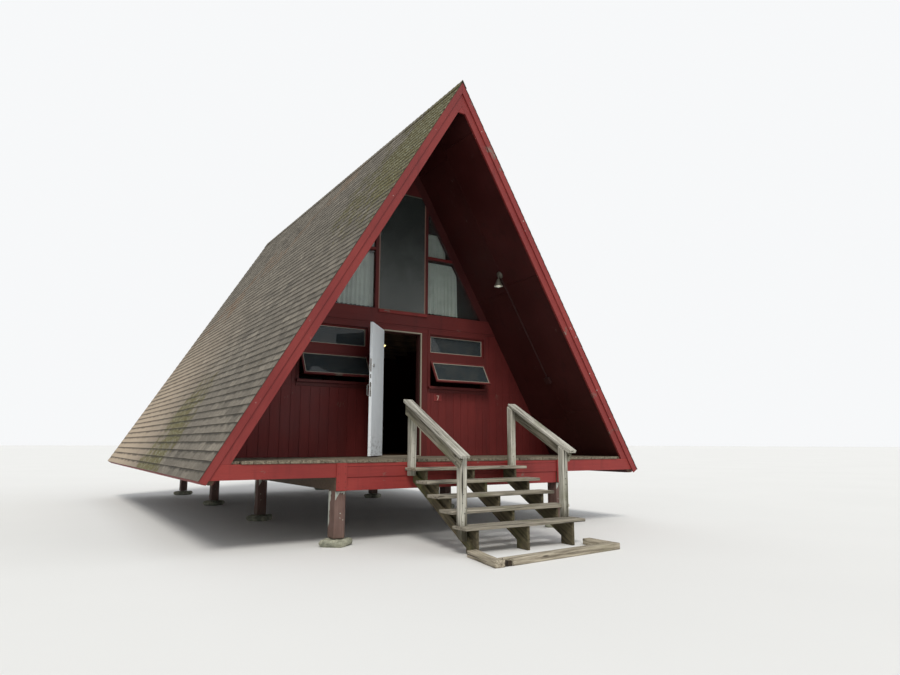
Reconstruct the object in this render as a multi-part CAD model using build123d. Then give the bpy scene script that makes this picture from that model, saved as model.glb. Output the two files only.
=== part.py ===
from build123d import *
import os
from math import atan2, cos, radians, sin, tan

os.makedirs("parts", exist_ok=True)

# An A-frame cabin on piers. It is drawn from its porch: X runs right across the front,
# Y runs into the building from the face of the front rake boards, and Z is up from the
# top of the porch deck. The last step moves it so that the origin is on the ground,
# under the middle of the plan. All sizes are in millimetres.

# Roof. The eaves end eave_lift above the bottom of the rim boards.
roof_pitch = 59.27
roof_half_width = 3395
eave_lift = 2.5
roof_length = 9820
shingle_thickness = 12
shingle_overhang = 25
sheathing_thickness = 19
rafter_depth = 140
rafter_width = 38
rafter_spacing = 610
ceiling_thickness = 16
ridge_cap_width = 130
ridge_cap_thickness = 9
eave_board_thickness = 19

# Rake boards
rake_thickness = 38
mitre_gap = 1
rake_depth = 202
strip_depth = 93
strip_thickness = 19
gusset_height = 107
gusset_thickness = 30

# Floor platform
deck_height = 1050
deck_thickness = 38
deck_nosing = 15
rim_height = 176
rim_thickness = 38
joist_width = 38
joist_spacing = 610
girder_depth = 164
girder_width = 140
girder_offset = 1810
front_beam_thickness = 76
front_beam_setback = 12
post_board_width = 140
post_board_thickness = 19

# Piers and their footing stones
pier_width = 147
pier_length = 200
pier_setback = 20
piers_a_side = 4
footing_width = 480
footing_length = 420
footing_height = 100
footing_corner = 110
half_turn = 180

# Walls
porch_depth = 1780
wall_thickness = 120
back_overhang = 300
header_bottom = 2129
header_top = 2400
header_proud = 12
header_sill_height = 32
header_sill_reach = 30
header_sill_drop = 8

# Doorway, drawn for a leaf 762 wide
door_left = -430
door_right = 333
door_head = 2040
jamb_thickness = 20
jamb_stop = 12
casing_width = 107
casing_thickness = 19
threshold_height = 12
leaf_gap = 5
strike_gap = 8
leaf_floor_gap = 6
leaf_thickness = 44
leaf_setback = 3
door_open_angle = 130
hinge_pin_offset = 8
hinge_radius = 6
hinge_height = 100
hinge_end_gap = 180
hinge_plate_thickness = 2

# Door furniture
pull_height = 1000
pull_length = 160
pull_reach = 45
pull_radius = 7
pull_bend = 16
pull_backset = 70
deadbolt_height = 1370
deadbolt_backset = 60
deadbolt_radius = 28
deadbolt_reach = 14
edge_plate_length = 200
edge_plate_width = 26
edge_plate_thickness = 2

# Lower windows, the same on both sides of the door. window_slope_gap is what the right
# window leaves of the wall beside its top corner.
window_inner_right = 526
window_inner_left = -652
window_slope_gap = 299.2
fixed_sash_bottom = 1724
fixed_sash_top = 2056
awning_bottom = 1165
awning_top = 1585
window_setback = 30
window_frame_depth = 40
window_frame_width = 28
glass_thickness = 4
awning_angle = 30
awning_depth = 30
awning_gap = 5
seat_gap = 0.3
trim_thickness = 12
trim_width = 45
trim_sill_height = 45
trim_sill_reach = 45
trim_sill_drop = 100

# Upper windows in the gable
gable_frame_depth = 90
gable_trim_width = 146
mullion_left_outer = -533
mullion_left_inner = -470
mullion_right_inner = 431
mullion_right_outer = 479
gable_rail_bottom = 3393
gable_rail_height = 45
gable_window_top = 4485
gable_glass_setback = 38
screen_thickness = 6
screen_setback = 12

# Loft
loft_joist_depth = 140
loft_joist_width = 38
loft_joist_spacing = 610
loft_floor_thickness = 25
loft_floor_drop = 90
ceiling_light_back = 1855
ceiling_light_x = 570
ceiling_light_radius = 125
ceiling_light_height = 60

# Curtains behind the gable glass
curtain_thickness = 40
curtain_inner = 455
curtain_outer = 1160
curtain_bottom_gap = 40
curtain_top = 3885
curtain_edge_gap = 25

# Stair
tread_count = 5
step_rise = 156
step_run = 287
first_step_drop = 107
tread_depth = 286
tread_thickness = 38
tread_nosing = 28
tread_left = -915
tread_right = 921
stringer_depth = 260
stringer_thickness = 38
stringer_middle = 12
foot_height = 100
side_board_thickness = 38
side_board_toe = -1320

# Handrails. The right newel and rail stop right_rail_shift nearer the porch than the left.
newel_width = 89
newel_inner = 790
newel_front = -1280
newel_foot_lift = 90
right_rail_shift = 100
cap_thickness = 38
cap_width = 140
cap_outer = 950
cap_high_top = 790
cap_low_top = 65
cap_low_end = -1380
rail_board_height = 140
rail_board_thickness = 38
rail_board_end = -1340

# Landing timbers in front of the stair
timber_height = 75
timber_width = 140
timber_left_outer = -885
timber_left_splay = 135
timber_front_left = -885
timber_front_right = 1000
timber_front_near = -2120
timber_front_far = -1930
timber_right_inner = 880
timber_right_width = 125

# Porch lamp, conduit and number plate
lamp_y = 895
lamp_height = 3037
lamp_canopy_radius = 55
lamp_canopy_thickness = 40
lamp_stem_radius = 9
lamp_stem_length = 60
lamp_shade_height = 125
lamp_shade_radius = 80
lamp_neck_radius = 30
lamp_shade_wall = 3
lamp_bulb_radius = 42
conduit_radius = 9
switch_box_height = 1300
switch_box_size = 110
switch_box_depth = 48
plate_left = 603
plate_width = 154
plate_bottom = 915
plate_height = 118
plate_thickness = 9

pitch = radians(roof_pitch)
apex_height = roof_half_width * tan(pitch)
soffit_depth = shingle_thickness + sheathing_thickness + rafter_depth + ceiling_thickness
rim_bottom = -deck_thickness - rim_height
roof_run = (apex_height - rim_bottom - eave_lift) / sin(pitch)
rafter_run = roof_run - eave_board_thickness
roof_front = rake_thickness
roof_back = roof_length - rake_thickness
rake_inner_depth = shingle_thickness + rake_depth
girder_bottom = rim_bottom - girder_depth
ground = -deck_height
wall_back = porch_depth + wall_thickness
back_wall_back = roof_length - back_overhang
back_wall_front = back_wall_back - wall_thickness
newel_outer = newel_inner + newel_width
last_pier = roof_length - pier_setback - pier_length / 2
plan_middle = (timber_front_near + last_pier + footing_length / 2) / 2
to_ground = Location((0, -plan_middle, deck_height))


def block(x_low, x_high, y_low, y_high, z_low, z_high):
    middle = ((x_low + x_high) / 2, (y_low + y_high) / 2, (z_low + z_high) / 2)
    return Pos(*middle) * Box(x_high - x_low, y_high - y_low, z_high - z_low)


def prism_y(points, y_low, y_high):
    """Extrudes an outline of (x, z) points along Y."""
    face = Plane.XZ.offset(-y_high) * Polygon(*points, align=None)
    return extrude(face, amount=y_high - y_low, dir=(0, -1, 0))


def prism_x(points, x_low, x_high):
    """Extrudes an outline of (y, z) points along X."""
    face = Plane.YZ.offset(x_low) * Polygon(*points, align=None)
    return extrude(face, amount=x_high - x_low, dir=(1, 0, 0))


def prism_z(points, z_low, z_high):
    """Extrudes an outline of (x, y) points upwards."""
    face = Plane.XY.offset(z_low) * Polygon(*points, align=None)
    return extrude(face, amount=z_high - z_low, dir=(0, 0, 1))


def mirrored(shape):
    """The same piece on the left of the cabin."""
    return mirror(shape, about=Plane.YZ)


def both_sides(shape):
    return [shape, mirrored(shape)]


def to_back(shape):
    """The same piece on the back wall, facing the other way."""
    middle = (porch_depth + back_wall_back) / 2
    return mirror(shape, about=Plane.XZ.offset(-middle))


def roof_top(depth):
    """Height, at the ridge, of the roof surface this deep below the shingles."""
    return apex_height - depth / cos(pitch)


def roof_x(depth, z):
    """Half the width, at height z, of the roof surface this deep below the shingles."""
    return (roof_top(depth) - z) / tan(pitch)


def slope_point(depth, run):
    x = run * cos(pitch) - depth * sin(pitch)
    z = apex_height - run * sin(pitch) - depth * cos(pitch)
    return (x, z)


def roof_slab(depth_out, depth_in, y_low, y_high, run=roof_run, middle=0):
    """The right-hand slab of one roof layer, plumb at the ridge and square at the eave."""
    drop = middle * tan(pitch)
    points = [
        (middle, roof_top(depth_out) - drop),
        slope_point(depth_out, run),
        slope_point(depth_in, run),
        (middle, roof_top(depth_in) - drop),
    ]
    return prism_y(points, y_low, y_high)


def between_roofs(depth, z_low, z_high, y_low, y_high):
    """A level slab that fits between the two slopes of the roof."""
    low = roof_x(depth, z_low)
    high = roof_x(depth, z_high)
    points = [(-low, z_low), (low, z_low), (high, z_high), (-high, z_high)]
    return prism_y(points, y_low, y_high)


def under_roof(depth, z_low, y_low, y_high):
    """A triangle that fills the gable above z_low."""
    low = roof_x(depth, z_low)
    points = [(-low, z_low), (low, z_low), (0, roof_top(depth))]
    return prism_y(points, y_low, y_high)


def evenly(start, end, wanted_spacing):
    """Places from start to end, spread evenly at about the wanted spacing."""
    bays = max(1, round((end - start) / wanted_spacing))
    return [start + (end - start) * i / bays for i in range(bays + 1)]


# Roof layers

boards_depth = shingle_thickness + sheathing_thickness
strip_inner_depth = shingle_thickness + strip_depth
eave_bottom = slope_point(strip_inner_depth, roof_run)[1]


def shingles():
    return roof_slab(0, shingle_thickness, -shingle_overhang, roof_length + shingle_overhang)


def ridge_cap():
    """One strip of caps, folded over the ridge."""
    y_low = -shingle_overhang
    y_high = roof_length + shingle_overhang
    right = roof_slab(-ridge_cap_thickness, 0, y_low, y_high, run=ridge_cap_width)
    return right + mirrored(right)


def above_eave(layer):
    """Cuts the foot of a roof layer level with the lower edge of the eave board."""
    return layer & block(0, 2 * roof_half_width, roof_front, roof_back, eave_bottom, apex_height)


def roof_boards():
    return roof_slab(shingle_thickness, boards_depth, roof_front, roof_back, run=rafter_run)


def rafters():
    """Pairs of rafters, each pair meeting at the ridge with a hairline mitre."""
    pairs = []
    for y in evenly(roof_front, roof_back - rafter_width, rafter_spacing):
        rafter = roof_slab(boards_depth, boards_depth + rafter_depth, y, y + rafter_width,
                           run=rafter_run, middle=mitre_gap / 2)
        pairs += both_sides(above_eave(rafter))
    return pairs


def ceiling():
    boards = roof_slab(soffit_depth - ceiling_thickness, soffit_depth, roof_front, roof_back)
    return above_eave(boards)


def eave_board():
    """The board nailed across the rafters' feet, under the last course of shingles."""
    points = [
        slope_point(shingle_thickness, rafter_run),
        slope_point(shingle_thickness, roof_run),
        slope_point(strip_inner_depth, roof_run),
        slope_point(strip_inner_depth, rafter_run),
    ]
    return prism_y(points, roof_front, roof_back)


# Rake boards, on both ends of the roof

def rake_board(y_low):
    """The deep board over the end rafter, cut level where it meets the rim board."""
    outer = shingle_thickness
    middle = mitre_gap / 2
    drop = middle * tan(pitch)
    seam = -deck_thickness
    points = [
        (middle, roof_top(outer) - drop),
        (roof_x(outer, seam), seam),
        (roof_x(rake_inner_depth, seam), seam),
        (middle, roof_top(rake_inner_depth) - drop),
    ]
    return prism_y(points, y_low, y_low + rake_thickness)


def rake_strip(y_low):
    """The narrow strip laid over the outer half of a rake board, down to the eave."""
    return roof_slab(shingle_thickness, strip_inner_depth, y_low, y_low + strip_thickness,
                     middle=mitre_gap / 2)


def gusset(y_low):
    """The small triangle that closes the notch where the rake boards meet."""
    top = roof_top(rake_inner_depth)
    bottom = top - gusset_height
    half = roof_x(rake_inner_depth, bottom)
    return prism_y([(-half, bottom), (half, bottom), (0, top)], y_low, y_low + gusset_thickness)


# Floor platform

def rim_board(y_low):
    return between_roofs(shingle_thickness, rim_bottom, -deck_thickness, y_low, y_low + rim_thickness)


def front_beam():
    half = girder_offset - girder_width / 2
    y_low = front_beam_setback
    return block(-half, half, y_low, y_low + front_beam_thickness, girder_bottom, rim_bottom)


def post_board():
    """The board that covers a girder's end, from the deck down to the pier."""
    half = post_board_width / 2
    return block(girder_offset - half, girder_offset + half, -post_board_thickness, 0,
                 girder_bottom, -deck_thickness)


def porch_deck():
    main = between_roofs(soffit_depth, -deck_thickness, 0, roof_front, porch_depth)
    nose = between_roofs(rake_inner_depth, -deck_thickness, 0, -deck_nosing, roof_front)
    post = block(newel_inner, newel_outer, -newel_width, 0, -deck_thickness, 0)
    return main + nose - post - mirrored(post)


def cabin_floor():
    main = between_roofs(soffit_depth, -deck_thickness, 0, porch_depth, roof_back)
    nose = between_roofs(rake_inner_depth, -deck_thickness, 0, roof_back, roof_length + deck_nosing)
    return main + nose


def floor_joists():
    last = roof_length - rim_thickness - joist_width
    places = evenly(rim_thickness, last, joist_spacing)
    return [between_roofs(soffit_depth, rim_bottom, -deck_thickness, y, y + joist_width) for y in places]


def girder():
    half = girder_width / 2
    return block(girder_offset - half, girder_offset + half, 0, roof_length, girder_bottom, rim_bottom)


def pier_places():
    first = pier_setback + pier_length / 2
    gap = (last_pier - first) / (piers_a_side - 1)
    return [first + i * gap for i in range(piers_a_side)]


def piers():
    left = girder_offset - pier_width / 2
    right = girder_offset + pier_width / 2
    half = pier_length / 2
    low = ground + footing_height
    row = [block(left, right, y - half, y + half, low, girder_bottom) for y in pier_places()]
    return row + [mirrored(pier) for pier in row]


def footing(y, turn):
    """A rough stone slab: a plan with broken corners, no two corners alike."""
    half_x = footing_width / 2
    half_y = footing_length / 2
    cut = footing_corner
    points = [
        (-half_x, -half_y + cut),
        (-half_x + cut, -half_y),
        (half_x - 0.6 * cut, -half_y),
        (half_x, -half_y + 0.8 * cut),
        (half_x, half_y - 1.2 * cut),
        (half_x - 0.9 * cut, half_y),
        (-half_x + 0.7 * cut, half_y),
        (-half_x, half_y - 0.8 * cut),
    ]
    stone = prism_z(points, ground, ground + footing_height)
    return Pos(girder_offset, y, 0) * Rot(0, 0, turn) * stone


def footings():
    row = [footing(y, half_turn * (i % 2)) for i, y in enumerate(pier_places())]
    return row + [mirrored(stone) for stone in row]


# Front wall, in three pieces beside and over the doorway

window_width = roof_x(soffit_depth, fixed_sash_top) - window_slope_gap - window_inner_right
left_window = window_inner_left - window_width
right_window = window_inner_right
frame_left = door_left - jamb_thickness
frame_right = door_right + jamb_thickness
frame_top = door_head + jamb_thickness


def window_cut(window, y_low, y_high):
    """The two openings of a lower window."""
    right = window + window_width
    upper = block(window, right, y_low, y_high, fixed_sash_bottom, fixed_sash_top)
    lower = block(window, right, y_low, y_high, awning_bottom, awning_top)
    return upper + lower


def lower_wall():
    """The wall from floor to header, with the lower windows and no doorway."""
    wall = between_roofs(soffit_depth, 0, header_bottom, porch_depth, wall_back)
    for window in (left_window, right_window):
        wall -= window_cut(window, porch_depth, wall_back)
    return wall


def front_wall_left():
    return lower_wall() & block(-roof_half_width, frame_left, porch_depth, wall_back, 0, header_bottom)


def front_wall_right():
    return lower_wall() & block(frame_right, roof_half_width, porch_depth, wall_back, 0, header_bottom)


def header_band():
    """The broad board between the storeys, with the sill of the tall window on it."""
    y_low = porch_depth - header_proud
    band = between_roofs(soffit_depth, header_bottom, header_top, y_low, wall_back)
    sill_top = header_top - header_sill_drop
    sill = block(mullion_left_outer, mullion_right_outer, y_low - header_sill_reach, y_low,
                 sill_top - header_sill_height, sill_top)
    return band + sill


def front_header():
    over_door = block(frame_left, frame_right, porch_depth, wall_back, frame_top, header_bottom)
    return header_band() + over_door


# Gable windows

def gable_panes(y_low, y_high):
    """The five panes of a gable: two on each side, and the tall one in the middle."""
    field = under_roof(soffit_depth + gable_trim_width, header_top, y_low, y_high)
    rail_top = gable_rail_bottom + gable_rail_height
    reach = roof_half_width
    frames = [
        (-reach, mullion_left_outer, header_top, gable_rail_bottom),
        (-reach, mullion_left_outer, rail_top, apex_height),
        (mullion_left_inner, mullion_right_inner, header_top, gable_window_top),
        (mullion_right_outer, reach, header_top, gable_rail_bottom),
        (mullion_right_outer, reach, rail_top, apex_height),
    ]
    return [field & block(left, right, y_low, y_high, low, high) for left, right, low, high in frames]


def gable_frame():
    """Raking trim, mullions and rails, with the boards over the tall window."""
    y_high = porch_depth + gable_frame_depth
    frame = under_roof(soffit_depth, header_top, porch_depth, y_high)
    for pane in gable_panes(porch_depth, y_high):
        frame -= pane
    return frame


def gable_glass():
    y_low = porch_depth + gable_glass_setback
    return gable_panes(y_low, y_low + glass_thickness)


def gable_screen():
    """The insect screen in front of the tall middle pane."""
    y_low = porch_depth + screen_setback
    return gable_panes(y_low, y_low + screen_thickness)[2]


# Lower windows

def sash(left, right, bottom, top, y_low, y_high):
    edge = window_frame_width
    outer = block(left, right, y_low, y_high, bottom, top)
    inner = block(left + edge, right - edge, y_low, y_high, bottom + edge, top - edge)
    return outer - inner


def pane(left, right, bottom, top, y_low):
    edge = window_frame_width
    return block(left + edge, right - edge, y_low, y_low + glass_thickness, bottom + edge, top - edge)


def fixed_sash(window, bottom, top):
    y_low = porch_depth + window_setback
    return sash(window, window + window_width, bottom, top, y_low, y_low + window_frame_depth)


def fixed_pane(window, bottom, top):
    y_low = porch_depth + window_setback + window_frame_depth / 2
    return pane(window, window + window_width, bottom, top, y_low)


def upper_sashes():
    return [fixed_sash(window, fixed_sash_bottom, fixed_sash_top) for window in (left_window, right_window)]


def upper_panes():
    return [fixed_pane(window, fixed_sash_bottom, fixed_sash_top) for window in (left_window, right_window)]


# The open sash hangs just clear of the edge of the trim above it
awning_tilt = radians(awning_angle)
awning_hinge = awning_top - (seat_gap + trim_thickness * sin(awning_tilt)) / cos(awning_tilt)
awning_low = awning_bottom + awning_gap


def swung_out(shape):
    """Turns a sash about its top edge, out over the porch."""
    return shape.rotate(Axis((0, porch_depth, awning_hinge), (1, 0, 0)), -awning_angle)


def awning_sash(window):
    left = window + awning_gap
    right = window + window_width - awning_gap
    return swung_out(sash(left, right, awning_low, awning_hinge, porch_depth - awning_depth, porch_depth))


def awning_pane(window):
    left = window + awning_gap
    right = window + window_width - awning_gap
    return swung_out(pane(left, right, awning_low, awning_hinge, porch_depth - awning_depth / 2))


def window_trim(window):
    """The flat boards round a pair of openings, and the sill below them."""
    y_low = porch_depth - trim_thickness
    left = window - trim_width
    right = window + window_width + trim_width
    board = block(left, right, y_low, porch_depth, awning_bottom - trim_sill_drop, header_bottom)
    sill = block(left, right, y_low - trim_sill_reach, y_low, awning_bottom - trim_sill_height, awning_bottom)
    return board + sill - window_cut(window, y_low, porch_depth)


# Doorway

casing_front = porch_depth - casing_thickness
leaf_front = casing_front + leaf_setback
leaf_back = leaf_front + leaf_thickness
leaf_left = door_left + leaf_gap
leaf_right = door_right - strike_gap
leaf_bottom = threshold_height + leaf_floor_gap
leaf_top = door_head - leaf_gap
hinge_x = door_left + leaf_gap / 2
hinge_y = casing_front - hinge_pin_offset


def door_frame():
    """Jambs and head with a stop that the leaf closes on, and a threshold."""
    outer = block(frame_left, frame_right, casing_front, wall_back, 0, frame_top)
    rebate = block(door_left, door_right, casing_front, leaf_back + leaf_gap, 0, door_head)
    way = block(door_left + jamb_stop, door_right - jamb_stop, leaf_back + leaf_gap, wall_back,
                0, door_head - jamb_stop)
    threshold = block(door_left, door_right, porch_depth, wall_back, 0, threshold_height)
    return outer - rebate - way + threshold


def door_casing():
    left = frame_left - casing_width
    right = frame_right + casing_width
    outer = block(left, right, casing_front, porch_depth, 0, header_bottom)
    return outer - block(frame_left, frame_right, casing_front, porch_depth, 0, frame_top)


# Door, drawn closed and then opened

def opened(shape):
    """Turns a piece of the closed door about its hinge pins to the open position."""
    return shape.rotate(Axis((hinge_x, hinge_y, 0), (0, 0, 1)), -door_open_angle)


def edge_plates():
    """The lock faces let into the free edge of the leaf."""
    middle = leaf_front + leaf_thickness / 2
    half_width = edge_plate_width / 2
    half_length = edge_plate_length / 2
    return [
        block(leaf_right - edge_plate_thickness, leaf_right, middle - half_width, middle + half_width,
              height - half_length, height + half_length)
        for height in (pull_height, deadbolt_height)
    ]


def door_leaf():
    leaf = block(leaf_left, leaf_right, leaf_front, leaf_back, leaf_bottom, leaf_top)
    for plate in edge_plates():
        leaf -= plate
    return leaf


def door_pull():
    """A bent rod on the outer face."""
    x = leaf_right - pull_backset
    low = pull_height - pull_length / 2
    high = pull_height + pull_length / 2
    reach = leaf_front - pull_reach
    route = FilletPolyline(
        (x, leaf_front, low), (x, reach, low), (x, reach, high), (x, leaf_front, high),
        radius=pull_bend)
    section = Plane(origin=(x, leaf_front, low), z_dir=(0, -1, 0)) * Circle(pull_radius)
    return sweep(section, path=route)


def deadbolt():
    """The key cylinder on the outer face and the turn on the inner face."""
    x = leaf_right - deadbolt_backset
    outer = Cylinder(deadbolt_radius, deadbolt_reach, rotation=(90, 0, 0))
    return [
        Pos(x, leaf_front - deadbolt_reach / 2, deadbolt_height) * outer,
        Pos(x, leaf_back + deadbolt_reach / 2, deadbolt_height) * outer,
    ]


hinge_places = [leaf_bottom + hinge_end_gap, (leaf_bottom + leaf_top) / 2, leaf_top - hinge_end_gap]


def knuckle(plate_edge, z_low, z_high):
    """A length of hinge barrel with the plate that runs from it along the door's edge."""
    middle = Pos(hinge_x, hinge_y, (z_low + z_high) / 2)
    barrel = middle * Cylinder(hinge_radius, z_high - z_low)
    plate = block(plate_edge, plate_edge + hinge_plate_thickness, hinge_y, leaf_back, z_low, z_high)
    return barrel + plate


def frame_hinges():
    """The middle knuckles of the three hinges, screwed to the jamb."""
    half = hinge_height / 6
    return [knuckle(door_left, z - half, z + half) for z in hinge_places]


def leaf_hinges():
    """The upper and lower knuckles, screwed to the leaf."""
    edge = leaf_left - hinge_plate_thickness
    near = hinge_height / 6 + seat_gap
    far = hinge_height / 2
    upper = [knuckle(edge, z + near, z + far) for z in hinge_places]
    lower = [knuckle(edge, z - far, z - near) for z in hinge_places]
    return upper + lower


def door_hardware():
    pieces = edge_plates() + [door_pull()] + deadbolt() + leaf_hinges()
    return [opened(piece) for piece in pieces]


# Back wall: the same windows, all shut, and no doorway

def back_wall():
    return to_back(lower_wall() + header_band())


def back_sashes():
    sashes = []
    for window in (left_window, right_window):
        sashes.append(to_back(fixed_sash(window, fixed_sash_bottom, fixed_sash_top)))
        sashes.append(to_back(fixed_sash(window, awning_bottom, awning_top)))
    return sashes


def back_glass():
    panes = gable_glass()
    for window in (left_window, right_window):
        panes.append(fixed_pane(window, fixed_sash_bottom, fixed_sash_top))
        panes.append(fixed_pane(window, awning_bottom, awning_top))
    return [to_back(sheet) for sheet in panes]


# Loft

loft_top = header_top - loft_floor_drop
loft_joist_top = loft_top - loft_floor_thickness
loft_joist_bottom = loft_joist_top - loft_joist_depth


def loft_joist_places():
    return evenly(wall_back, back_wall_front - loft_joist_width, loft_joist_spacing)


def loft_joists():
    width = loft_joist_width
    return [between_roofs(soffit_depth, loft_joist_bottom, loft_joist_top, y, y + width)
            for y in loft_joist_places()]


def loft_floor():
    return between_roofs(soffit_depth, loft_joist_top, loft_top, wall_back, back_wall_front)


def ceiling_light():
    """A plain round fitting screwed up under a loft joist."""
    wanted = wall_back + ceiling_light_back
    y = min(loft_joist_places(), key=lambda place: abs(place - wanted)) + loft_joist_width / 2
    z = loft_joist_bottom - ceiling_light_height / 2
    return Pos(ceiling_light_x, y, z) * Cylinder(ceiling_light_radius, ceiling_light_height)


def curtain():
    """A soft panel hung close behind the gable frame, cut to the slope of the roof."""
    depth = soffit_depth + curtain_edge_gap
    y_low = porch_depth + gable_frame_depth + seat_gap
    bottom = header_top + curtain_bottom_gap
    shoulder = roof_top(depth) - curtain_outer * tan(pitch)
    points = [
        (curtain_inner, bottom),
        (curtain_outer, bottom),
        (curtain_outer, shoulder),
        (roof_x(depth, curtain_top), curtain_top),
        (curtain_inner, curtain_top),
    ]
    return prism_y(points, y_low, y_low + curtain_thickness)


# Stair

stair_slope = step_rise / step_run
stair_angle = atan2(step_rise, step_run)


def tread_top(number):
    return -first_step_drop - step_rise * (number - 1)


def tread_notch(post_front, number):
    """What a post on the right takes out of a tread, from the tread's nearer edge."""
    front = -step_run * number
    back = front + tread_depth
    post_back = post_front + newel_width
    if post_front >= back or post_back <= front:
        return None
    if post_front + post_back > front + back:
        low, high = post_front, back
    else:
        low, high = front, post_back
    top = tread_top(number)
    return block(newel_inner, newel_outer, low, high, top - tread_thickness, top)


def tread(number):
    """A plank whose front edge is a whole number of runs out from the rim."""
    front = -step_run * number
    top = tread_top(number)
    plank = block(tread_left, tread_right, front, front + tread_depth, top - tread_thickness, top)
    for post_front in (-newel_width, newel_front + right_rail_shift):
        notch = tread_notch(post_front, number)
        if notch:
            plank -= notch
    for post_front in (-newel_width, newel_front):
        notch = tread_notch(post_front, number)
        if notch:
            plank -= mirrored(notch)
    return plank


stringer_upper = tread_top(1) - tread_thickness + (step_run - tread_nosing) * stair_slope
stringer_lower = stringer_upper - stringer_depth / cos(stair_angle)


def under_stair(y):
    """Height of the lower edge that the stringers and side boards share."""
    return stringer_lower + stair_slope * y


def stringer(x_low):
    """A sawn plank: a seat under each tread, a level foot and a plumb cut at the rim."""
    points = []
    for number in range(1, tread_count + 1):
        seat = tread_top(number) - tread_thickness
        riser_above = 0 if number == 1 else -step_run * (number - 1) + tread_nosing
        points.append((riser_above, seat))
        points.append((-step_run * number + tread_nosing, seat))
    toe = points[-1][0]
    foot_top = ground + foot_height
    heel = (foot_top - stringer_lower) / stair_slope
    points += [(toe, ground), (heel, ground), (heel, foot_top), (0, under_stair(0))]
    return prism_x(points, x_low, x_low + stringer_thickness)


def stringers():
    side = newel_inner - side_board_thickness
    return [
        stringer(side - stringer_thickness),
        stringer(stringer_middle - stringer_thickness / 2),
        stringer(-side),
    ]


def side_board():
    """A straight raking board between the right stringer and newel, up to the teeth's roots."""
    upper = stringer_upper - step_rise
    points = [
        (0, upper),
        (side_board_toe, upper + stair_slope * side_board_toe),
        (side_board_toe, under_stair(side_board_toe)),
        (0, under_stair(0)),
    ]
    return prism_x(points, newel_inner - side_board_thickness, newel_inner)


# Handrails

rail_fall = (cap_high_top - cap_low_top) / -cap_low_end
rail_angle = atan2(rail_fall, 1)
cap_drop = cap_thickness / cos(rail_angle)


def cap_under(y):
    """Height of the underside of the handrail cap."""
    return cap_high_top + rail_fall * y - cap_drop


def newel(front):
    """A post on the face of the side board, cut to the rake at both ends, its foot held
    newel_foot_lift above the board's lower edge."""
    back = front + newel_width
    points = [
        (front, under_stair(front) + newel_foot_lift),
        (back, under_stair(back) + newel_foot_lift),
        (back, cap_under(back)),
        (front, cap_under(front)),
    ]
    return prism_x(points, newel_inner, newel_outer)


def rim_post():
    back = -newel_width
    points = [(back, rim_bottom), (0, rim_bottom), (0, cap_under(0)), (back, cap_under(back))]
    return prism_x(points, newel_inner, newel_outer)


def rail_posts():
    newels = [newel(newel_front + right_rail_shift), mirrored(newel(newel_front))]
    return newels + both_sides(rim_post())


def raked(end, rise, thickness, x_low, x_high):
    """A straight piece along the rail, its top rise above the cap's underside, cut square."""
    drop = thickness / cos(rail_angle)
    heel = end + thickness * sin(rail_angle)
    points = [
        (0, cap_under(0) + rise),
        (end, cap_under(end) + rise),
        (heel, cap_under(heel) + rise - drop),
        (0, cap_under(0) + rise - drop),
    ]
    return prism_x(points, x_low, x_high)


def handrail_cap(end):
    return raked(end, cap_drop, cap_thickness, cap_outer - cap_width, cap_outer)


def handrail_caps():
    return [handrail_cap(cap_low_end + right_rail_shift), mirrored(handrail_cap(cap_low_end))]


def rail_board(end):
    """The board on edge under the cap, on the outer faces of the posts."""
    outer = newel_outer + rail_board_thickness
    return raked(end, 0, rail_board_height, newel_outer, outer)


def rail_boards():
    return [rail_board(rail_board_end + right_rail_shift), mirrored(rail_board(rail_board_end))]


# Landing timbers on the ground in front of the stair

stair_toe = -step_run * tread_count + tread_nosing
timber_skew = (timber_front_far - timber_front_near) / (timber_front_right - timber_front_left)


def timber_front_edge(x):
    return timber_front_near + timber_skew * (x - timber_front_left)


def landing_front():
    """The long timber, laid a little askew."""
    left = timber_front_left
    right = timber_front_right
    points = [
        (left, timber_front_edge(left)),
        (right, timber_front_edge(right)),
        (right, timber_front_edge(right) + timber_width),
        (left, timber_front_edge(left) + timber_width),
    ]
    return prism_z(points, ground, ground + timber_height)


def landing_sides():
    """The left timber splays outwards, and the right one butts on the long timber."""
    far_left = timber_left_outer - timber_left_splay
    left = prism_z([
        (far_left, timber_front_near),
        (timber_front_left, timber_front_near),
        (timber_front_left, timber_front_edge(timber_front_left) + timber_width),
        (timber_left_outer + timber_width, stair_toe),
        (timber_left_outer, stair_toe),
    ], ground, ground + timber_height)
    right_inner = timber_right_inner
    right_outer = timber_right_inner + timber_right_width
    right = prism_z([
        (right_inner, timber_front_edge(right_inner) + timber_width),
        (right_outer, timber_front_edge(right_outer) + timber_width),
        (right_outer, stair_toe),
        (right_inner, stair_toe),
    ], ground, ground + timber_height)
    return [left, right]


# Porch lamp, conduit and number plate

lamp_x = roof_x(soffit_depth, lamp_height)
soffit_frame = Plane(origin=(lamp_x, lamp_y, lamp_height), x_dir=(0, 1, 0),
                     z_dir=(-sin(pitch), 0, -cos(pitch)))


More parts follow.
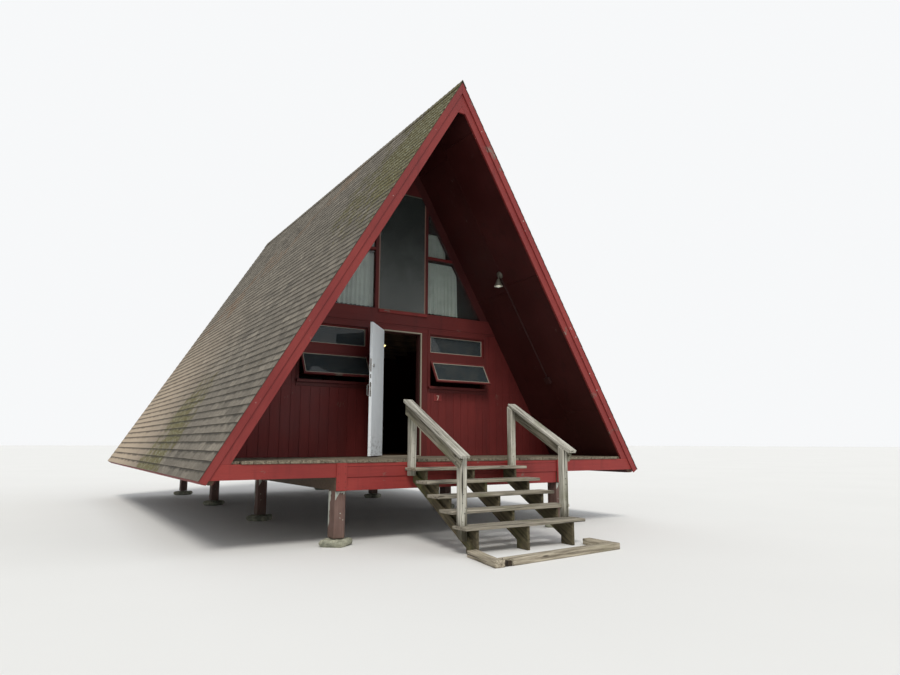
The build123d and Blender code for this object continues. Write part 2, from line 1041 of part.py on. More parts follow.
def porch_lamp():
    """A canopy on the soffit, a stem that hangs plumb and a bell shade with its bulb."""
    canopy = soffit_frame * Pos(0, 0, lamp_canopy_thickness / 2) * Cylinder(
        lamp_canopy_radius, lamp_canopy_thickness)
    stem_x = lamp_x - lamp_canopy_thickness * sin(pitch)
    stem_top = lamp_height - lamp_canopy_thickness * cos(pitch) / 2
    shade_top = stem_top - lamp_stem_length
    stem = Pos(stem_x, lamp_y, stem_top - lamp_stem_length / 2) * Cylinder(lamp_stem_radius, lamp_stem_length)
    shade_bottom = shade_top - lamp_shade_height
    neck_height = lamp_shade_height / 3
    bell = [
        (0, shade_top),
        (lamp_neck_radius, shade_top),
        (lamp_neck_radius, shade_top - neck_height),
        (lamp_shade_radius, shade_bottom),
        (lamp_shade_radius - lamp_shade_wall, shade_bottom),
        (lamp_neck_radius - lamp_shade_wall, shade_top - neck_height - lamp_shade_wall),
        (0, shade_top - neck_height - lamp_shade_wall),
    ]
    shade = revolve(Plane.XZ * Polygon(*bell, align=None), axis=Axis.Z)
    bulb_middle = shade_bottom + lamp_bulb_radius / 2
    bulb = Pos(0, 0, bulb_middle) * Sphere(lamp_bulb_radius)
    neck = Pos(0, 0, (bulb_middle + shade_top - neck_height) / 2) * Cylinder(
        lamp_neck_radius / 2, shade_top - neck_height - bulb_middle)
    return canopy + stem + Pos(stem_x, lamp_y, 0) * (shade + bulb + neck)


def conduit():
    """A straight pipe down the soffit from the lamp to its switch box."""
    fall = (lamp_height - switch_box_height) / sin(pitch)
    start = lamp_canopy_radius + seat_gap
    length = fall - start
    height = conduit_radius + seat_gap
    pipe = Pos(0, start + length / 2, height) * Cylinder(conduit_radius, length, rotation=(90, 0, 0))
    box = Pos(0, fall, switch_box_depth / 2) * Box(switch_box_size, switch_box_size, switch_box_depth)
    return soffit_frame * (pipe + box)


def number_plate():
    return block(plate_left, plate_left + plate_width, porch_depth - plate_thickness, porch_depth,
                 plate_bottom, plate_bottom + plate_height)


# Every node is written to its own file

front_strip = -strip_thickness
back_board = roof_length - rake_thickness
porch_windows = (left_window, right_window)

nodes = {
    "shingles_right": [shingles()],
    "shingles_left": [mirrored(shingles())],
    "ridge_cap": [ridge_cap()],
    "roof_boards_right": [roof_boards()],
    "roof_boards_left": [mirrored(roof_boards())],
    "rafters": rafters(),
    "ceiling_right": [ceiling()],
    "ceiling_left": [mirrored(ceiling())],
    "eave_boards": both_sides(eave_board()),
    "rake_boards_front": both_sides(rake_board(0)),
    "rake_boards_back": both_sides(rake_board(back_board)),
    "rake_strips_front": both_sides(rake_strip(front_strip)),
    "rake_strips_back": both_sides(rake_strip(roof_length)),
    "rake_gussets": [gusset(0), gusset(roof_length - gusset_thickness)],
    "rim_boards": [rim_board(0), rim_board(roof_length - rim_thickness)],
    "front_beam": [front_beam()],
    "post_boards": both_sides(post_board()),
    "porch_deck": [porch_deck()],
    "cabin_floor": [cabin_floor()],
    "floor_joists": floor_joists(),
    "girders": both_sides(girder()),
    "piers": piers(),
    "pier_footings": footings(),
    "front_wall_left": [front_wall_left()],
    "front_wall_right": [front_wall_right()],
    "front_header": [front_header()],
    "gable_frame_front": [gable_frame()],
    "gable_frame_back": [to_back(gable_frame())],
    "front_glass": gable_glass() + upper_panes(),
    "gable_screen": [gable_screen()],
    "fixed_sashes": upper_sashes(),
    "awning_sashes": [awning_sash(window) for window in porch_windows],
    "awning_glass": [awning_pane(window) for window in porch_windows],
    "window_trim": [window_trim(window) for window in porch_windows],
    "door_frame": [door_frame()],
    "door_casing": [door_casing()],
    "door_leaf": [opened(door_leaf())],
    "door_hardware": door_hardware(),
    "door_hinges": frame_hinges(),
    "back_wall": [back_wall()],
    "back_sashes": back_sashes(),
    "back_glass": back_glass(),
    "back_window_trim": [to_back(window_trim(window)) for window in porch_windows],
    "loft_joists": loft_joists(),
    "loft_floor": [loft_floor()],
    "ceiling_light": [ceiling_light()],
    "curtains": both_sides(curtain()),
    "stair_treads": [tread(number) for number in range(1, tread_count + 1)],
    "stringers": stringers(),
    "stair_side_boards": both_sides(side_board()),
    "rail_posts": rail_posts(),
    "handrail_caps": handrail_caps(),
    "rail_boards": rail_boards(),
    "landing_timber_front": [landing_front()],
    "landing_timbers_side": landing_sides(),
    "porch_lamp": [porch_lamp()],
    "lamp_conduit": [conduit()],
    "number_plate": [number_plate()],
}

for name, pieces in nodes.items():
    solids = []
    for piece in pieces:
        solids += [to_ground * solid for solid in piece.solids()]
    whole = solids[0] if len(solids) == 1 else Compound(children=solids)
    export_step(whole, f"parts/{name}.step")
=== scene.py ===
from math import atan2, cos, pi, radians, sin, sqrt, tan
from random import Random

import bpy
from mathutils import Matrix, Vector, noise


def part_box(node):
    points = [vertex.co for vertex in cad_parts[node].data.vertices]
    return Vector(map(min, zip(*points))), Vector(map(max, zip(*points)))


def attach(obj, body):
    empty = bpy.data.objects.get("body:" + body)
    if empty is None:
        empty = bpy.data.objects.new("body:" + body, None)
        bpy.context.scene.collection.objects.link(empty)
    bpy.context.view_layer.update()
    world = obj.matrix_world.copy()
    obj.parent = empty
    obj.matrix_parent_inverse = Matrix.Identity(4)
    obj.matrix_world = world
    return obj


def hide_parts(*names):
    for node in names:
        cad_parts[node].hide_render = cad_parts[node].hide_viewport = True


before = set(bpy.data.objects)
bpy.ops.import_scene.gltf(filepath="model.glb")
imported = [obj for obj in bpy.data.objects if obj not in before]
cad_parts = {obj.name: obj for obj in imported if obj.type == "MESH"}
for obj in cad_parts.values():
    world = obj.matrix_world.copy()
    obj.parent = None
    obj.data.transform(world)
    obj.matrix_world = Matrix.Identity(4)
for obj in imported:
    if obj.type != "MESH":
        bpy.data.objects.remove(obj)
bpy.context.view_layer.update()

# The looks of an A-frame cabin. Pieces are drawn in the deck frame, in metres: X runs right
# across the front, Y into the building from the face of the rake boards, and Z up from the
# top of the deck. Shape.build moves them to the row frame.
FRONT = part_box("rim_boards")[0].y
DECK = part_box("porch_deck")[1].z
ROOF_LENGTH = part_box("rim_boards")[1].y - FRONT
GROUND = -DECK

# Roof, as depths below the surface of the shingles
PITCH = radians(59.27)
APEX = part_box("shingles_right")[1].z - DECK
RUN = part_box("shingles_right")[1].x / cos(PITCH)
SHINGLE = 0.012
SOFFIT = 0.187
SOFFIT_FACE = 0.171
OVERHANG = 0.025
RAKE = 0.038
RAKE_INNER = 0.214
STRIP_INNER = 0.105
STRIP = 0.019
EAVE_BOARD = 0.019
MITRE = 0.0006
WIDE = 4            # beyond the roof, for pieces that under_slope cuts back
HIGH = 6

# Floor platform
DECK_BOARD = 0.038
RIM_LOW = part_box("rim_boards")[0].z - DECK
BEAM_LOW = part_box("front_beam")[0].z - DECK
GIRDER_X = 1.81
POST_BOARD = 0.14

# Front wall
WALL = 1.78
WALL_BACK = 1.90
BACK_FACE = ROOF_LENGTH - 0.3
HEADER_LOW = 2.129
HEADER_TOP = 2.4
HEADER_PROUD = 0.012
DOOR_LEFT = -0.43
DOOR_RIGHT = 0.333
DOOR_TOP = 2.04
JAMB = 0.02
CASING = 0.107
CASING_THICK = 0.019
WINDOW_WIDTH = 1.13
WINDOWS = (-0.652 - WINDOW_WIDTH, 0.526)
UPPER = (1.724, 2.056)
LOWER = (1.165, 1.585)
SASH = 0.028
TRIM = 0.045
TRIM_THICK = 0.012
TRIM_LOW = 1.065

# Gable
MULLIONS = ((-0.533, -0.47), (0.431, 0.479))
TALL = (MULLIONS[0][1], MULLIONS[1][0])
RAIL = (3.393, 3.438)
TALL_TOP = 4.485
GABLE_TRIM = SOFFIT + 0.146
GABLE_DEEP = 0.09

# Stair
TREADS = 5
RISE = 0.156
STEP = 0.287
FIRST_DROP = 0.107
NEWEL = (0.79, 0.879)
POST = 0.089
CAP_TOP = 0.79
RAIL_FALL = (CAP_TOP - 0.065) / 1.38
RAIL_ANGLE = atan2(RAIL_FALL, 1)
PLANK_THICK = 0.038
CAP_DROP = PLANK_THICK / cos(RAIL_ANGLE)

UP = (0, 0, 1)
TO_FRONT = (0, -1, 0)


def roof_top(depth):
    return APEX - depth / cos(PITCH)


def roof_x(depth, z):
    return (roof_top(depth) - z) / tan(PITCH)


def slope_point(depth, run):
    return (run * cos(PITCH) - depth * sin(PITCH), APEX - run * sin(PITCH) - depth * cos(PITCH))


def down(side):
    """The direction down the right (1) or left (-1) slope."""
    return (side * cos(PITCH), 0, -sin(PITCH))


EAVE_LOW = slope_point(STRIP_INNER, RUN)[1]


# Mesh making

AXES = {"x": (1, 2, 0), "y": (0, 2, 1), "z": (0, 1, 2)}
TO_BACK = Matrix.Translation((0, WALL + BACK_FACE, 0)) @ Matrix.Diagonal((1, -1, 1, 1))


def clip(outline, a, b, limit):
    """The part of a convex outline where a*u + b*v is at most limit."""
    kept = []
    for (u0, v0), (u1, v1) in zip(outline, outline[1:] + outline[:1]):
        before = a * u0 + b * v0 - limit
        after = a * u1 + b * v1 - limit
        if before <= 0:
            kept.append((u0, v0))
        if before * after < 0:
            share = before / (before - after)
            kept.append((u0 + (u1 - u0) * share, v0 + (v1 - v0) * share))
    return kept


def under_slope(outline, depth):
    """The part of an (x, z) outline between the two slopes at this depth."""
    for side in (1, -1):
        outline = clip(outline, side * sin(PITCH), cos(PITCH), roof_top(depth) * cos(PITCH))
    return outline


def rect(u_low, u_high, v_low, v_high):
    return [(u_low, v_low), (u_high, v_low), (u_high, v_high), (u_low, v_high)]


def mirrored(outline, side):
    return [(side * x, z) for x, z in outline]


def area_of(outline):
    pairs = zip(outline, outline[1:] + outline[:1])
    return sum(u0 * v1 - u1 * v0 for (u0, v0), (u1, v1) in pairs) / 2


def cleaned(outline, least):
    """The outline counter-clockwise, without corners that lie nearly on each other."""
    if area_of(outline) < 0:
        outline = outline[::-1]
    kept = []
    for point in outline:
        if not kept or (Vector(point) - Vector(kept[-1])).length > least:
            kept.append(point)
    if (Vector(kept[0]) - Vector(kept[-1])).length <= least:
        kept.pop()
    return kept


def raised(flat, level, axis):
    """A point of an outline at one level of the axis that it is run out along."""
    point = Vector((0, 0, 0))
    u, v, w = AXES[axis]
    point[u], point[v], point[w] = flat[0], flat[1], level
    return point


def outward(faces, axis):
    return [f[::-1] for f in faces] if axis == "y" else faces


class Shape:
    """Boards and other solids gathered into one mesh. Each keeps its own grain and tone."""

    def __init__(self, seed, move=None):
        self.points, self.faces, self.indices, self.smooths = [], [], [], []
        self.grain, self.tones = [], []
        self.random = Random(seed)
        self.move = move

    def add(self, points, faces, grain=None, tone=None, index=0, smooth=False):
        start, move = len(self.points), self.move
        tone = self.random.random() if tone is None else tone
        flip = move is not None and move.determinant() < 0
        self.grain += grain or [tuple(p) for p in points]
        self.points += [move @ Vector(p) for p in points] if move is not None else points
        self.tones += [tone] * len(points)
        self.faces += [[start + i for i in (f[::-1] if flip else f)] for f in faces]
        self.indices += [index] * len(faces)
        self.smooths += [smooth] * len(faces)

    def prism(self, outline, low, high, axis="y", run=None, ease=0.002, cuts=0, jitter=0,
              tone=None, index=0):
        """A board with eased edges: an outline in two axes, run out along the third."""
        outline = cleaned(outline, 2.5 * ease)
        if len(outline) < 3:
            return
        if cuts:
            outline = self.cut_up(outline, cuts, jitter)
        corners = [Vector(p) for p in outline]
        n = len(corners)
        edges = [(corners[(i + 1) % n] - corners[i]).normalized() for i in range(n)]
        ring, inset = [], []
        for i, corner in enumerate(corners):
            into, out = edges[i - 1], edges[i]
            ring += [corner - into * ease, corner + out * ease]
            inward = Vector((-into.y - out.y, into.x + out.x)) / max(0.2, 1 + into.dot(out))
            inset.append(corner + inward * ease)
        levels = ((inset, low), (ring, low + ease), (ring, high - ease), (inset, high))
        points = [raised(p, level, axis) for flat, level in levels for p in flat]
        lower, upper, top = n, 3 * n, 5 * n
        faces = [list(range(n))[::-1], list(range(top, top + n))]
        for i in range(2 * n):
            j = (i + 1) % (2 * n)
            faces.append([lower + i, lower + j, upper + j, upper + i])
        for i in range(n):
            j = (i + 1) % n
            a, b, c = 2 * i, 2 * i + 1, 2 * j
            faces += [[i, j, lower + c, lower + b], [i, lower + b, lower + a],
                      [upper + b, upper + c, top + j, top + i], [upper + a, upper + b, top + i]]
        self.add(points, outward(faces, axis), self.grain_of(points, run), tone, index)

    def plate(self, outline, low, high, axis, index=1):
        """A thin piece of any outline, its edges left sharp."""
        if area_of(outline) < 0:
            outline = outline[::-1]
        points = [raised(p, level, axis) for level in (low, high) for p in outline]
        n = len(outline)
        faces = [list(range(n))[::-1], list(range(n, 2 * n))]
        faces += [[i, (i + 1) % n, n + (i + 1) % n, n + i] for i in range(n)]
        self.add(points, outward(faces, axis), self.grain_of(points, UP), None, index)

    def cut_up(self, outline, cuts, jitter):
        """The outline with points along its long edges, each a little out of line."""
        made = []
        for (u0, v0), (u1, v1) in zip(outline, outline[1:] + outline[:1]):
            length = sqrt((u1 - u0) ** 2 + (v1 - v0) ** 2)
            parts = max(1, round(length / cuts))
            for i in range(parts):
                u, v = u0 + (u1 - u0) * i / parts, v0 + (v1 - v0) * i / parts
                if i:
                    back = self.random.uniform(0, jitter)
                    u -= back * (v1 - v0) / length
                    v += back * (u1 - u0) / length
                made.append((u, v))
        return made

    def grain_of(self, points, run):
        """Each point as (along the grain, across it, through it), shifted at random."""
        if run is None:
            spans = [max(line) - min(line) for line in zip(*points)]
            run = [0, 0, 0]
            run[spans.index(max(spans))] = 1
        along = Vector(run).normalized()
        helper = Vector((0, 1, 0)) if abs(along.y) < 0.9 else Vector((1, 0, 0))
        across = along.cross(helper).normalized()
        axes = (along, across, along.cross(across))
        shift = [self.random.uniform(0, 40) for _ in axes]
        return [tuple(p.dot(a) + s for a, s in zip(axes, shift)) for p in points]

    def lathe(self, profile, place, around=24, index=0):
        """A closed profile of (radius, height) points turned about the Z axis of place."""
        points, faces, rings = [], [], []
        for radius, height in profile:
            first = len(points)
            for i in range(around if radius else 1):
                turn = 2 * pi * i / around
                points.append(place @ Vector((radius * cos(turn), radius * sin(turn), height)))
            rings.append(range(first, len(points)))
        for low, high in zip(rings, rings[1:]):
            for i in range(around):
                j = (i + 1) % around
                face = [low[i], low[j]] if len(low) > 1 else [low[0]]
                face += [high[j], high[i]] if len(high) > 1 else [high[0]]
                if len(face) > 2:
                    faces.append(face)
        self.add(points, faces, None, None, index, True)

    def nail(self, point, normal, radius=0.004, height=0.0012, index=1):
        """A slightly domed head on a surface."""
        turn = Vector(normal).to_track_quat("Z", "Y").to_matrix().to_4x4()
        rim = 0.6 * height
        profile = [(0, -rim), (radius, -rim), (radius, rim), (0.6 * radius, height * 0.95),
                   (0, height)]
        self.lathe(profile, Matrix.Translation(point) @ turn, 8, index)

    def build(self, name, materials, slot, replaces=(), body="cabin"):
        mesh = bpy.data.meshes.new(name)
        shift = Vector((0, FRONT, DECK))
        mesh.from_pydata([Vector(p) + shift for p in self.points], [], self.faces)
        for material in materials:
            mesh.materials.append(material)
        mesh.polygons.foreach_set("material_index", self.indices)
        mesh.polygons.foreach_set("use_smooth", self.smooths)
        grain = mesh.attributes.new("grain", "FLOAT_VECTOR", "POINT")
        grain.data.foreach_set("vector", [x for p in self.grain for x in p])
        tone = mesh.attributes.new("tone", "FLOAT", "POINT")
        tone.data.foreach_set("value", self.tones)
        piece = bpy.data.objects.new(name, mesh)
        bpy.context.scene.collection.objects.link(piece)
        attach(piece, body)
        if replaces:
            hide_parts(*replaces)
        return piece

    def stand_for(self, node, ending, slot, *materials, body="cabin"):
        """Builds the piece that shows in place of one CAD node and takes its name."""
        self.build(f"{node}_{ending}", materials, slot, [node], body)


# Materials

def shade(colour):
    """A colour given as the eye sees it, 0 to 255, in Blender's linear light."""
    shares = [c / 255 for c in colour]
    return [*[c / 12.92 if c <= 0.04045 else ((c + 0.055) / 1.055) ** 2.4 for c in shares], 1]


def dim(colour, share):
    return [share * c for c in colour]


class Finish:
    """A node material. tint is its colour so far; a method that adds a node gives its output."""

    def __init__(self, name, **sockets):
        self.material = bpy.data.materials.new(name)
        self.material.use_nodes = True
        self.nodes = self.material.node_tree.nodes
        self.links = self.material.node_tree.links
        self.shader = self.nodes["Principled BSDF"]
        self.tint = None
        for socket, value in sockets.items():
            self.put(socket.replace("_", " "), value)

    def set(self, socket, value):
        if hasattr(value, "links"):
            self.links.new(value, socket)
        else:
            socket.default_value = value

    def put(self, socket, value):
        self.set(self.shader.inputs[socket], value)

    def node(self, kind, inputs=(), **settings):
        made = self.nodes.new(kind)
        for key, value in settings.items():
            setattr(made, key, value)
        for key, value in dict(inputs).items():
            self.set(made.inputs[key], value)
        return made

    def place(self, scale=(1, 1, 1), turn=(0, 0, 0)):
        """Points of the row frame, scaled along each axis."""
        coordinates = self.node("ShaderNodeTexCoord").outputs["Object"]
        inputs = {0: coordinates, "Rotation": turn, "Scale": scale}
        return self.node("ShaderNodeMapping", inputs).outputs[0]

    def grain(self, scale=(1, 1, 1)):
        """Points along, across and through each board, scaled."""
        coordinates = self.node("ShaderNodeAttribute", attribute_name="grain").outputs["Vector"]
        return self.node("ShaderNodeMapping", {0: coordinates, "Scale": scale}).outputs[0]

    def tone(self):
        return self.node("ShaderNodeAttribute", attribute_name="tone").outputs["Fac"]

    def split(self, vector=None):
        """The X, Y and Z of a vector, or of the place in the row frame."""
        vector = self.place() if vector is None else vector
        return self.node("ShaderNodeSeparateXYZ", {0: vector}).outputs

    def noise(self, vector, scale, detail=4, rough=0.55):
        inputs = {"Vector": vector, "Scale": scale, "Detail": detail, "Roughness": rough}
        return self.node("ShaderNodeTexNoise", inputs).outputs[0]

    def cells(self, vector, scale):
        inputs = {"Vector": vector, "Scale": scale}
        return self.node("ShaderNodeTexVoronoi", inputs).outputs["Distance"]

    def wave(self, vector, scale, distortion, direction="X", **more):
        inputs = {"Vector": vector, "Scale": scale, "Distortion": distortion, **more}
        return self.node("ShaderNodeTexWave", inputs, bands_direction=direction).outputs["Fac"]

    def steps(self, value, low, high, out_low=0.0, out_high=1.0):
        """value from low to high, smoothly turned into out_low to out_high."""
        inputs = {0: value, 1: low, 2: high, 3: out_low, 4: out_high}
        return self.node("ShaderNodeMapRange", inputs, interpolation_type="SMOOTHSTEP").outputs[0]

    def waver(self, value, ripple, reach):
        """value pushed to and fro by a noise, by reach at most."""
        return self.plus(value, self.steps(ripple, 0.3, 0.7, -reach, reach))

    def math(self, operation, a, b=0.0):
        return self.node("ShaderNodeMath", {0: a, 1: b}, operation=operation).outputs[0]

    def plus(self, a, b):
        return self.math("ADD", a, b)

    def minus(self, a, b):
        return self.math("SUBTRACT", a, b)

    def times(self, a, b):
        return self.math("MULTIPLY", a, b)

    def mix(self, share, a, b):
        """Between two colours, each an output or (red, green, blue)."""
        a, b = (c if hasattr(c, "links") else shade(c) for c in (a, b))
        return self.node("ShaderNodeMix", {0: share, 6: a, 7: b}, data_type="RGBA").outputs[2]

    def over(self, paint, share, *levels):
        """Lays a paint over the colour so far by a share, or by the steps of a value."""
        self.tint = self.mix(self.steps(share, *levels) if levels else share, self.tint, paint)

    def done(self, rough, height, depth):
        """The material. rough is one value, an output, or a noise and what its range becomes."""
        if isinstance(rough, tuple):
            rough = self.steps(rough[0], 0.3, 0.7, *rough[1:])
        bump = self.node("ShaderNodeBump", {"Height": height, "Distance": depth, "Strength": 1.0})
        self.put("Base Color", self.tint)
        self.put("Roughness", rough)
        self.put("Normal", bump.outputs[0])
        return self.material


def painted(name, base, faded, wear=-1, specks=0):
    """Old paint on wood: faded in patches, streaked with dirt, chipped down to the wood."""
    f = Finish(name, Specular_IOR_Level=0.32)
    along, wide = f.grain((1.2, 26, 26)), f.place()
    patches = f.noise(wide, 1.1, 5)
    grain = f.noise(along, 3, 6, 0.6)
    flecks = f.times(f.noise(along, 9, 3), f.steps(f.noise(wide, 2.3, 4), 0.42, 0.75))
    chips = f.steps(flecks, 0.47 - 0.1 * wear, 0.5 - 0.1 * wear)
    f.tint = f.mix(f.steps(patches, 0.35, 0.68), base, faded)
    f.over(dim(base, 0.72), f.tone(), 0, 1, 0, 0.28)
    f.over(dim(base, 0.6), grain, 0.3, 0.75, 0, 0.22)
    f.over(dim(base, 0.5), f.noise(f.place((9, 9, 0.7)), 1, 5), 0.52, 0.78, 0, 0.35)
    f.over((118, 108, 98), chips)
    if specks:
        size = f.steps(f.noise(wide, 1.9, 3), 0.42, 0.66, 0.0, 0.13)
        spots = f.math("LESS_THAN", f.cells(wide, 11), size)
        f.over((186, 168, 162), f.times(spots, specks))
    return f.done((patches, 0.5, 0.72), f.minus(grain, f.times(chips, 0.6)), 0.0016)


def weathered(name, light, dark, moss=0.2, darker_foot=None, grime_and_shadow_under_cap=False):
    """Bare wood gone grey: ridged grain, long checks, knots and a green bloom in the damp.
    Where it is given, it grows darker towards the foot, up to a height given as from and to."""
    f = Finish(name, Specular_IOR_Level=0.3)
    fine = f.noise(f.grain((1.6, 60, 60)), 2.2, 6, 0.62)
    coarse = f.noise(f.grain((0.6, 15, 15)), 2.6, 5, 0.62)
    grain = f.plus(f.times(fine, 0.45), f.times(coarse, 0.55))
    cracks = f.steps(f.noise(f.grain((0.45, 34, 34)), 1.7, 3, 0.5), 0.62, 0.67)
    bent = f.noise(f.grain((0.8, 5, 5)), 1.2, 3)
    f.tint = f.mix(f.steps(grain, 0.38, 0.6), dark, light)
    f.over([0.46 * (a + b) for a, b in zip(light, dark)], bent, 0.4, 0.7, 0, 0.3)
    f.over(dim(light, 0.68), f.tone(), 0, 1, 0, 0.35)
    f.over((52, 42, 34), f.cells(f.grain((1.4, 7, 7)), 1.3), 0.05, 0.13, 0.75, 0)
    f.over((44, 40, 34), cracks)
    f.over((92, 96, 58), f.noise(f.place(), 2.1, 5), 0.5, 0.72, 0, moss)
    _, y, z = f.split()
    # Darker towards the foot, up to the given height.
    if darker_foot:
        f.over((62, 56, 38), f.waver(z, coarse, 0.1), *darker_foot, 0.85, 0)
    # A dark band just under the handrail cap: painted shadow of the cap, and grime in the damp
    # joint.
    if grime_and_shadow_under_cap:
        line = f.plus(f.times(y, RAIL_FALL), DECK + CAP_TOP - CAP_DROP - RAIL_FALL * FRONT)
        f.over((58, 58, 42), f.waver(f.minus(line, z), coarse, 0.02), 0.02, 0.06, 0.8, 0)
    return f.done((coarse, 0.8, 0.94), f.minus(grain, f.times(cracks, 0.9)), 0.004)


def shingle_finish(name):
    """Asphalt shingles: granules, mixed tabs, a dark band below each butt that is painted shadow
    and dirt, painted sunlight low towards the back, moss and rust.
    """
    f = Finish(name, Specular_IOR_Level=0.25)
    here = f.place()
    x, y, z = f.split(here)
    granules = f.noise(here, 420, 3, 0.7)
    down_slope = f.noise(f.place((3.2, 3.2, 0.35)), 1.6, 5)
    lumps = f.plus(f.times(f.noise(here, 9, 6, 0.68), 0.6), f.times(down_slope, 0.4))
    f.tint = f.mix(f.tone(), (74, 69, 62), (142, 134, 121))
    f.over((86, 78, 67), f.noise(here, 17, 5, 0.65), 0.42, 0.62, 0, 0.5)
    f.over((66, 62, 55), down_slope, 0.48, 0.72, 0, 0.5)
    f.over((156, 149, 137), granules, 0.42, 0.66, 0, 0.4)
    f.over((42, 39, 36), granules, 0.3, 0.42, 0.5, 0)
    # Painted sunlight, with some bleaching: both slopes are lighter and warmer low down towards the
    # back.
    sunlight_and_bleaching_low_back = f.times(f.steps(y, -1.5, 4.5), f.steps(z, 1.2, 5.2, 1, 0))
    f.over((196, 176, 152), f.times(sunlight_and_bleaching_low_back, 0.72))
    # Moss near the ridge and at the foot, and rust down a slanting streak, on the left slope
    left = f.steps(x, -0.2, 0.2, 1, 0.2)
    ragged = f.waver(y, f.noise(here, 0.9, 5, 0.6), 0.9)
    ridge = f.times(f.steps(z, 2.9, 6.0), f.steps(ragged, -3.9, -0.2, 1, 0))
    off_line = f.math("ABSOLUTE", f.plus(f.plus(ragged, f.times(z, 1.687)), -11.15))
    streak = f.times(f.steps(off_line, 0, 1.1, 1, 0), f.steps(z, 2.4, 3.6))
    off_middle = f.math("ABSOLUTE", f.plus(ragged, 0.1))
    foot = f.times(f.steps(off_middle, 0.2, 1.6, 1, 0), f.steps(z, 1.4, 3.4, 1, 0))
    f.over((62, 58, 46), f.times(f.times(ridge, left), 0.42))
    warm = f.times(f.math("MAXIMUM", streak, f.times(foot, 0.5)), left)
    f.over((132, 98, 68), f.plus(lumps, f.times(warm, 0.2)), 0.58, 0.78, 0, 0.5)
    growth = f.times(f.math("MAXIMUM", ridge, f.times(foot, 0.85)), left)
    moss = f.steps(f.plus(lumps, f.times(growth, 0.34)), 0.62, 0.76)
    f.over(f.mix(f.noise(here, 40, 3), (50, 48, 24), (116, 108, 54)), f.times(moss, 0.8))
    lichen = f.plus(f.noise(here, 23, 5, 0.7), f.times(growth, 0.15))
    f.over((160, 163, 138), lichen, 0.66, 0.72, 0, 0.6)
    # A dark band just below each butt: painted shadow of the butt above, and dirt in its lee.
    share = f.split(f.grain())[0]
    f.over((40, 37, 32), f.waver(share, f.noise(here, 6, 4), 0.12), 0.05, 0.42, 0.78, 0)
    f.over((150, 143, 130), share, 0.93, 1.0, 0, 0.35)
    relief = f.plus(f.times(granules, 0.5), f.times(moss, 1.6))
    return f.done((granules, 0.88, 0.97), relief, 0.0022)


def stone_finish(name, light, dark, spots=0.6):
    """Rough stone or mineral felt, with a film of green and pale spots of lichen."""
    f = Finish(name)
    here = f.place()
    broad, fine = f.noise(here, 5, 6, 0.65), f.noise(here, 60, 5, 0.7)
    f.tint = f.mix(f.steps(broad, 0.35, 0.68), dark, light)
    f.over((70, 74, 58), fine, 0.5, 0.7, 0, 0.5)
    f.over((170, 172, 158), f.cells(here, 34), 0.12, 0.2, spots, 0)
    return f.done(0.92, f.plus(broad, f.times(fine, 0.5)), 0.006)


def pier_finish(name):
    """Posts under a plain brown coat, dusty at the foot."""
    f = Finish(name, Specular_IOR_Level=0.3)
    grain = f.noise(f.grain((1.2, 34, 34)), 2.4, 6, 0.62)
    wide = f.noise(f.place(), 3.1, 5)
    f.tint = f.mix(f.steps(grain, 0.35, 0.65), (82, 60, 54), (112, 88, 80))
    f.over((120, 100, 92), wide, 0.45, 0.7, 0, 0.45)
    f.over((96, 84, 70), f.plus(f.split()[2], f.times(wide, 0.25)), 0.18, 0.36, 0.5, 0)
    return f.done((grain, 0.72, 0.88), grain, 0.002)


def enamel(name, base, dirt):
    """Smooth enamel brushed on down the door, with hand marks and scuffs low down."""
    f = Finish(name, Coat_Weight=0.15)
    brush = f.noise(f.place((60, 60, 1.4)), 1.5, 5, 0.6)
    wide = f.noise(f.place(), 2.6, 5)
    f.tint = f.mix(f.steps(brush, 0.35, 0.7, 0, 0.3), base, dim(base, 0.86))
    f.over(dirt, wide, 0.5, 0.75, 0, 0.3)
    scuffs = f.steps(f.noise(f.place((1, 1, 3)), 7, 5), 0.45, 0.7)
    low = f.times(f.steps(f.split()[2], 1.1, 1.5, 1, 0), scuffs)
    f.over(dim(dirt, 0.7), f.times(low, 0.6))
    return f.done((wide, 0.36, 0.52), brush, 0.0005)


def jamb_finish(name):
    """A dark lining with a bare pale front edge, where the door has rubbed the paint away."""
    f = Finish(name, Specular_IOR_Level=0.3)
    grain = f.noise(f.place((30, 30, 1.5)), 2, 5, 0.6)
    edge = f.plus(f.split()[1], f.times(grain, 0.006))
    f.tint = f.mix(grain, (44, 18, 16), (70, 30, 26))
    bare = f.mix(grain, (128, 120, 104), (178, 170, 152))
    f.over(bare, edge, WALL + FRONT + 0.006, WALL + FRONT + 0.01, 1, 0)
    return f.done((grain, 0.6, 0.8), grain, 0.0008)


def metal(name, base, rust=(92, 62, 40), metallic=1.0, rough=0.35, rusted=0.4):
    f = Finish(name, Metallic=metallic)
    here = f.place()
    wide = f.noise(here, 30, 5)
    spots = f.steps(f.noise(here, 85, 5, 0.65), 0.6, 0.72, 0, rusted)
    f.tint = f.mix(f.steps(wide, 0.3, 0.7, 0, 0.5), base, dim(base, 0.78))
    f.over(rust, spots)
    rough = f.plus(f.steps(wide, 0.3, 0.7, rough - 0.06, rough + 0.12), f.times(spots, 0.4))
    return f.done(rough, f.noise(here, 240, 3), 0.0003)


def plywood(name, light, dark, turn=0):
    """Bare softwood or plywood indoors: warm grain, turned from X, and a few stains."""
    f = Finish(name)
    here = f.place((1, 14, 14), (0, 0, radians(turn)))
    grain = f.noise(here, 2.2, 6, 0.6)
    both = f.plus(f.times(grain, 0.8), f.times(f.wave(here, 0.8, 3.5, Detail=3), 0.2))
    f.tint = f.mix(f.steps(both, 0.25, 0.75), dark, light)
    f.over(dim(dark, 0.7), f.noise(f.place(), 1.7, 5), 0.5, 0.75, 0, 0.4)
    return f.done(0.72, grain, 0.001)


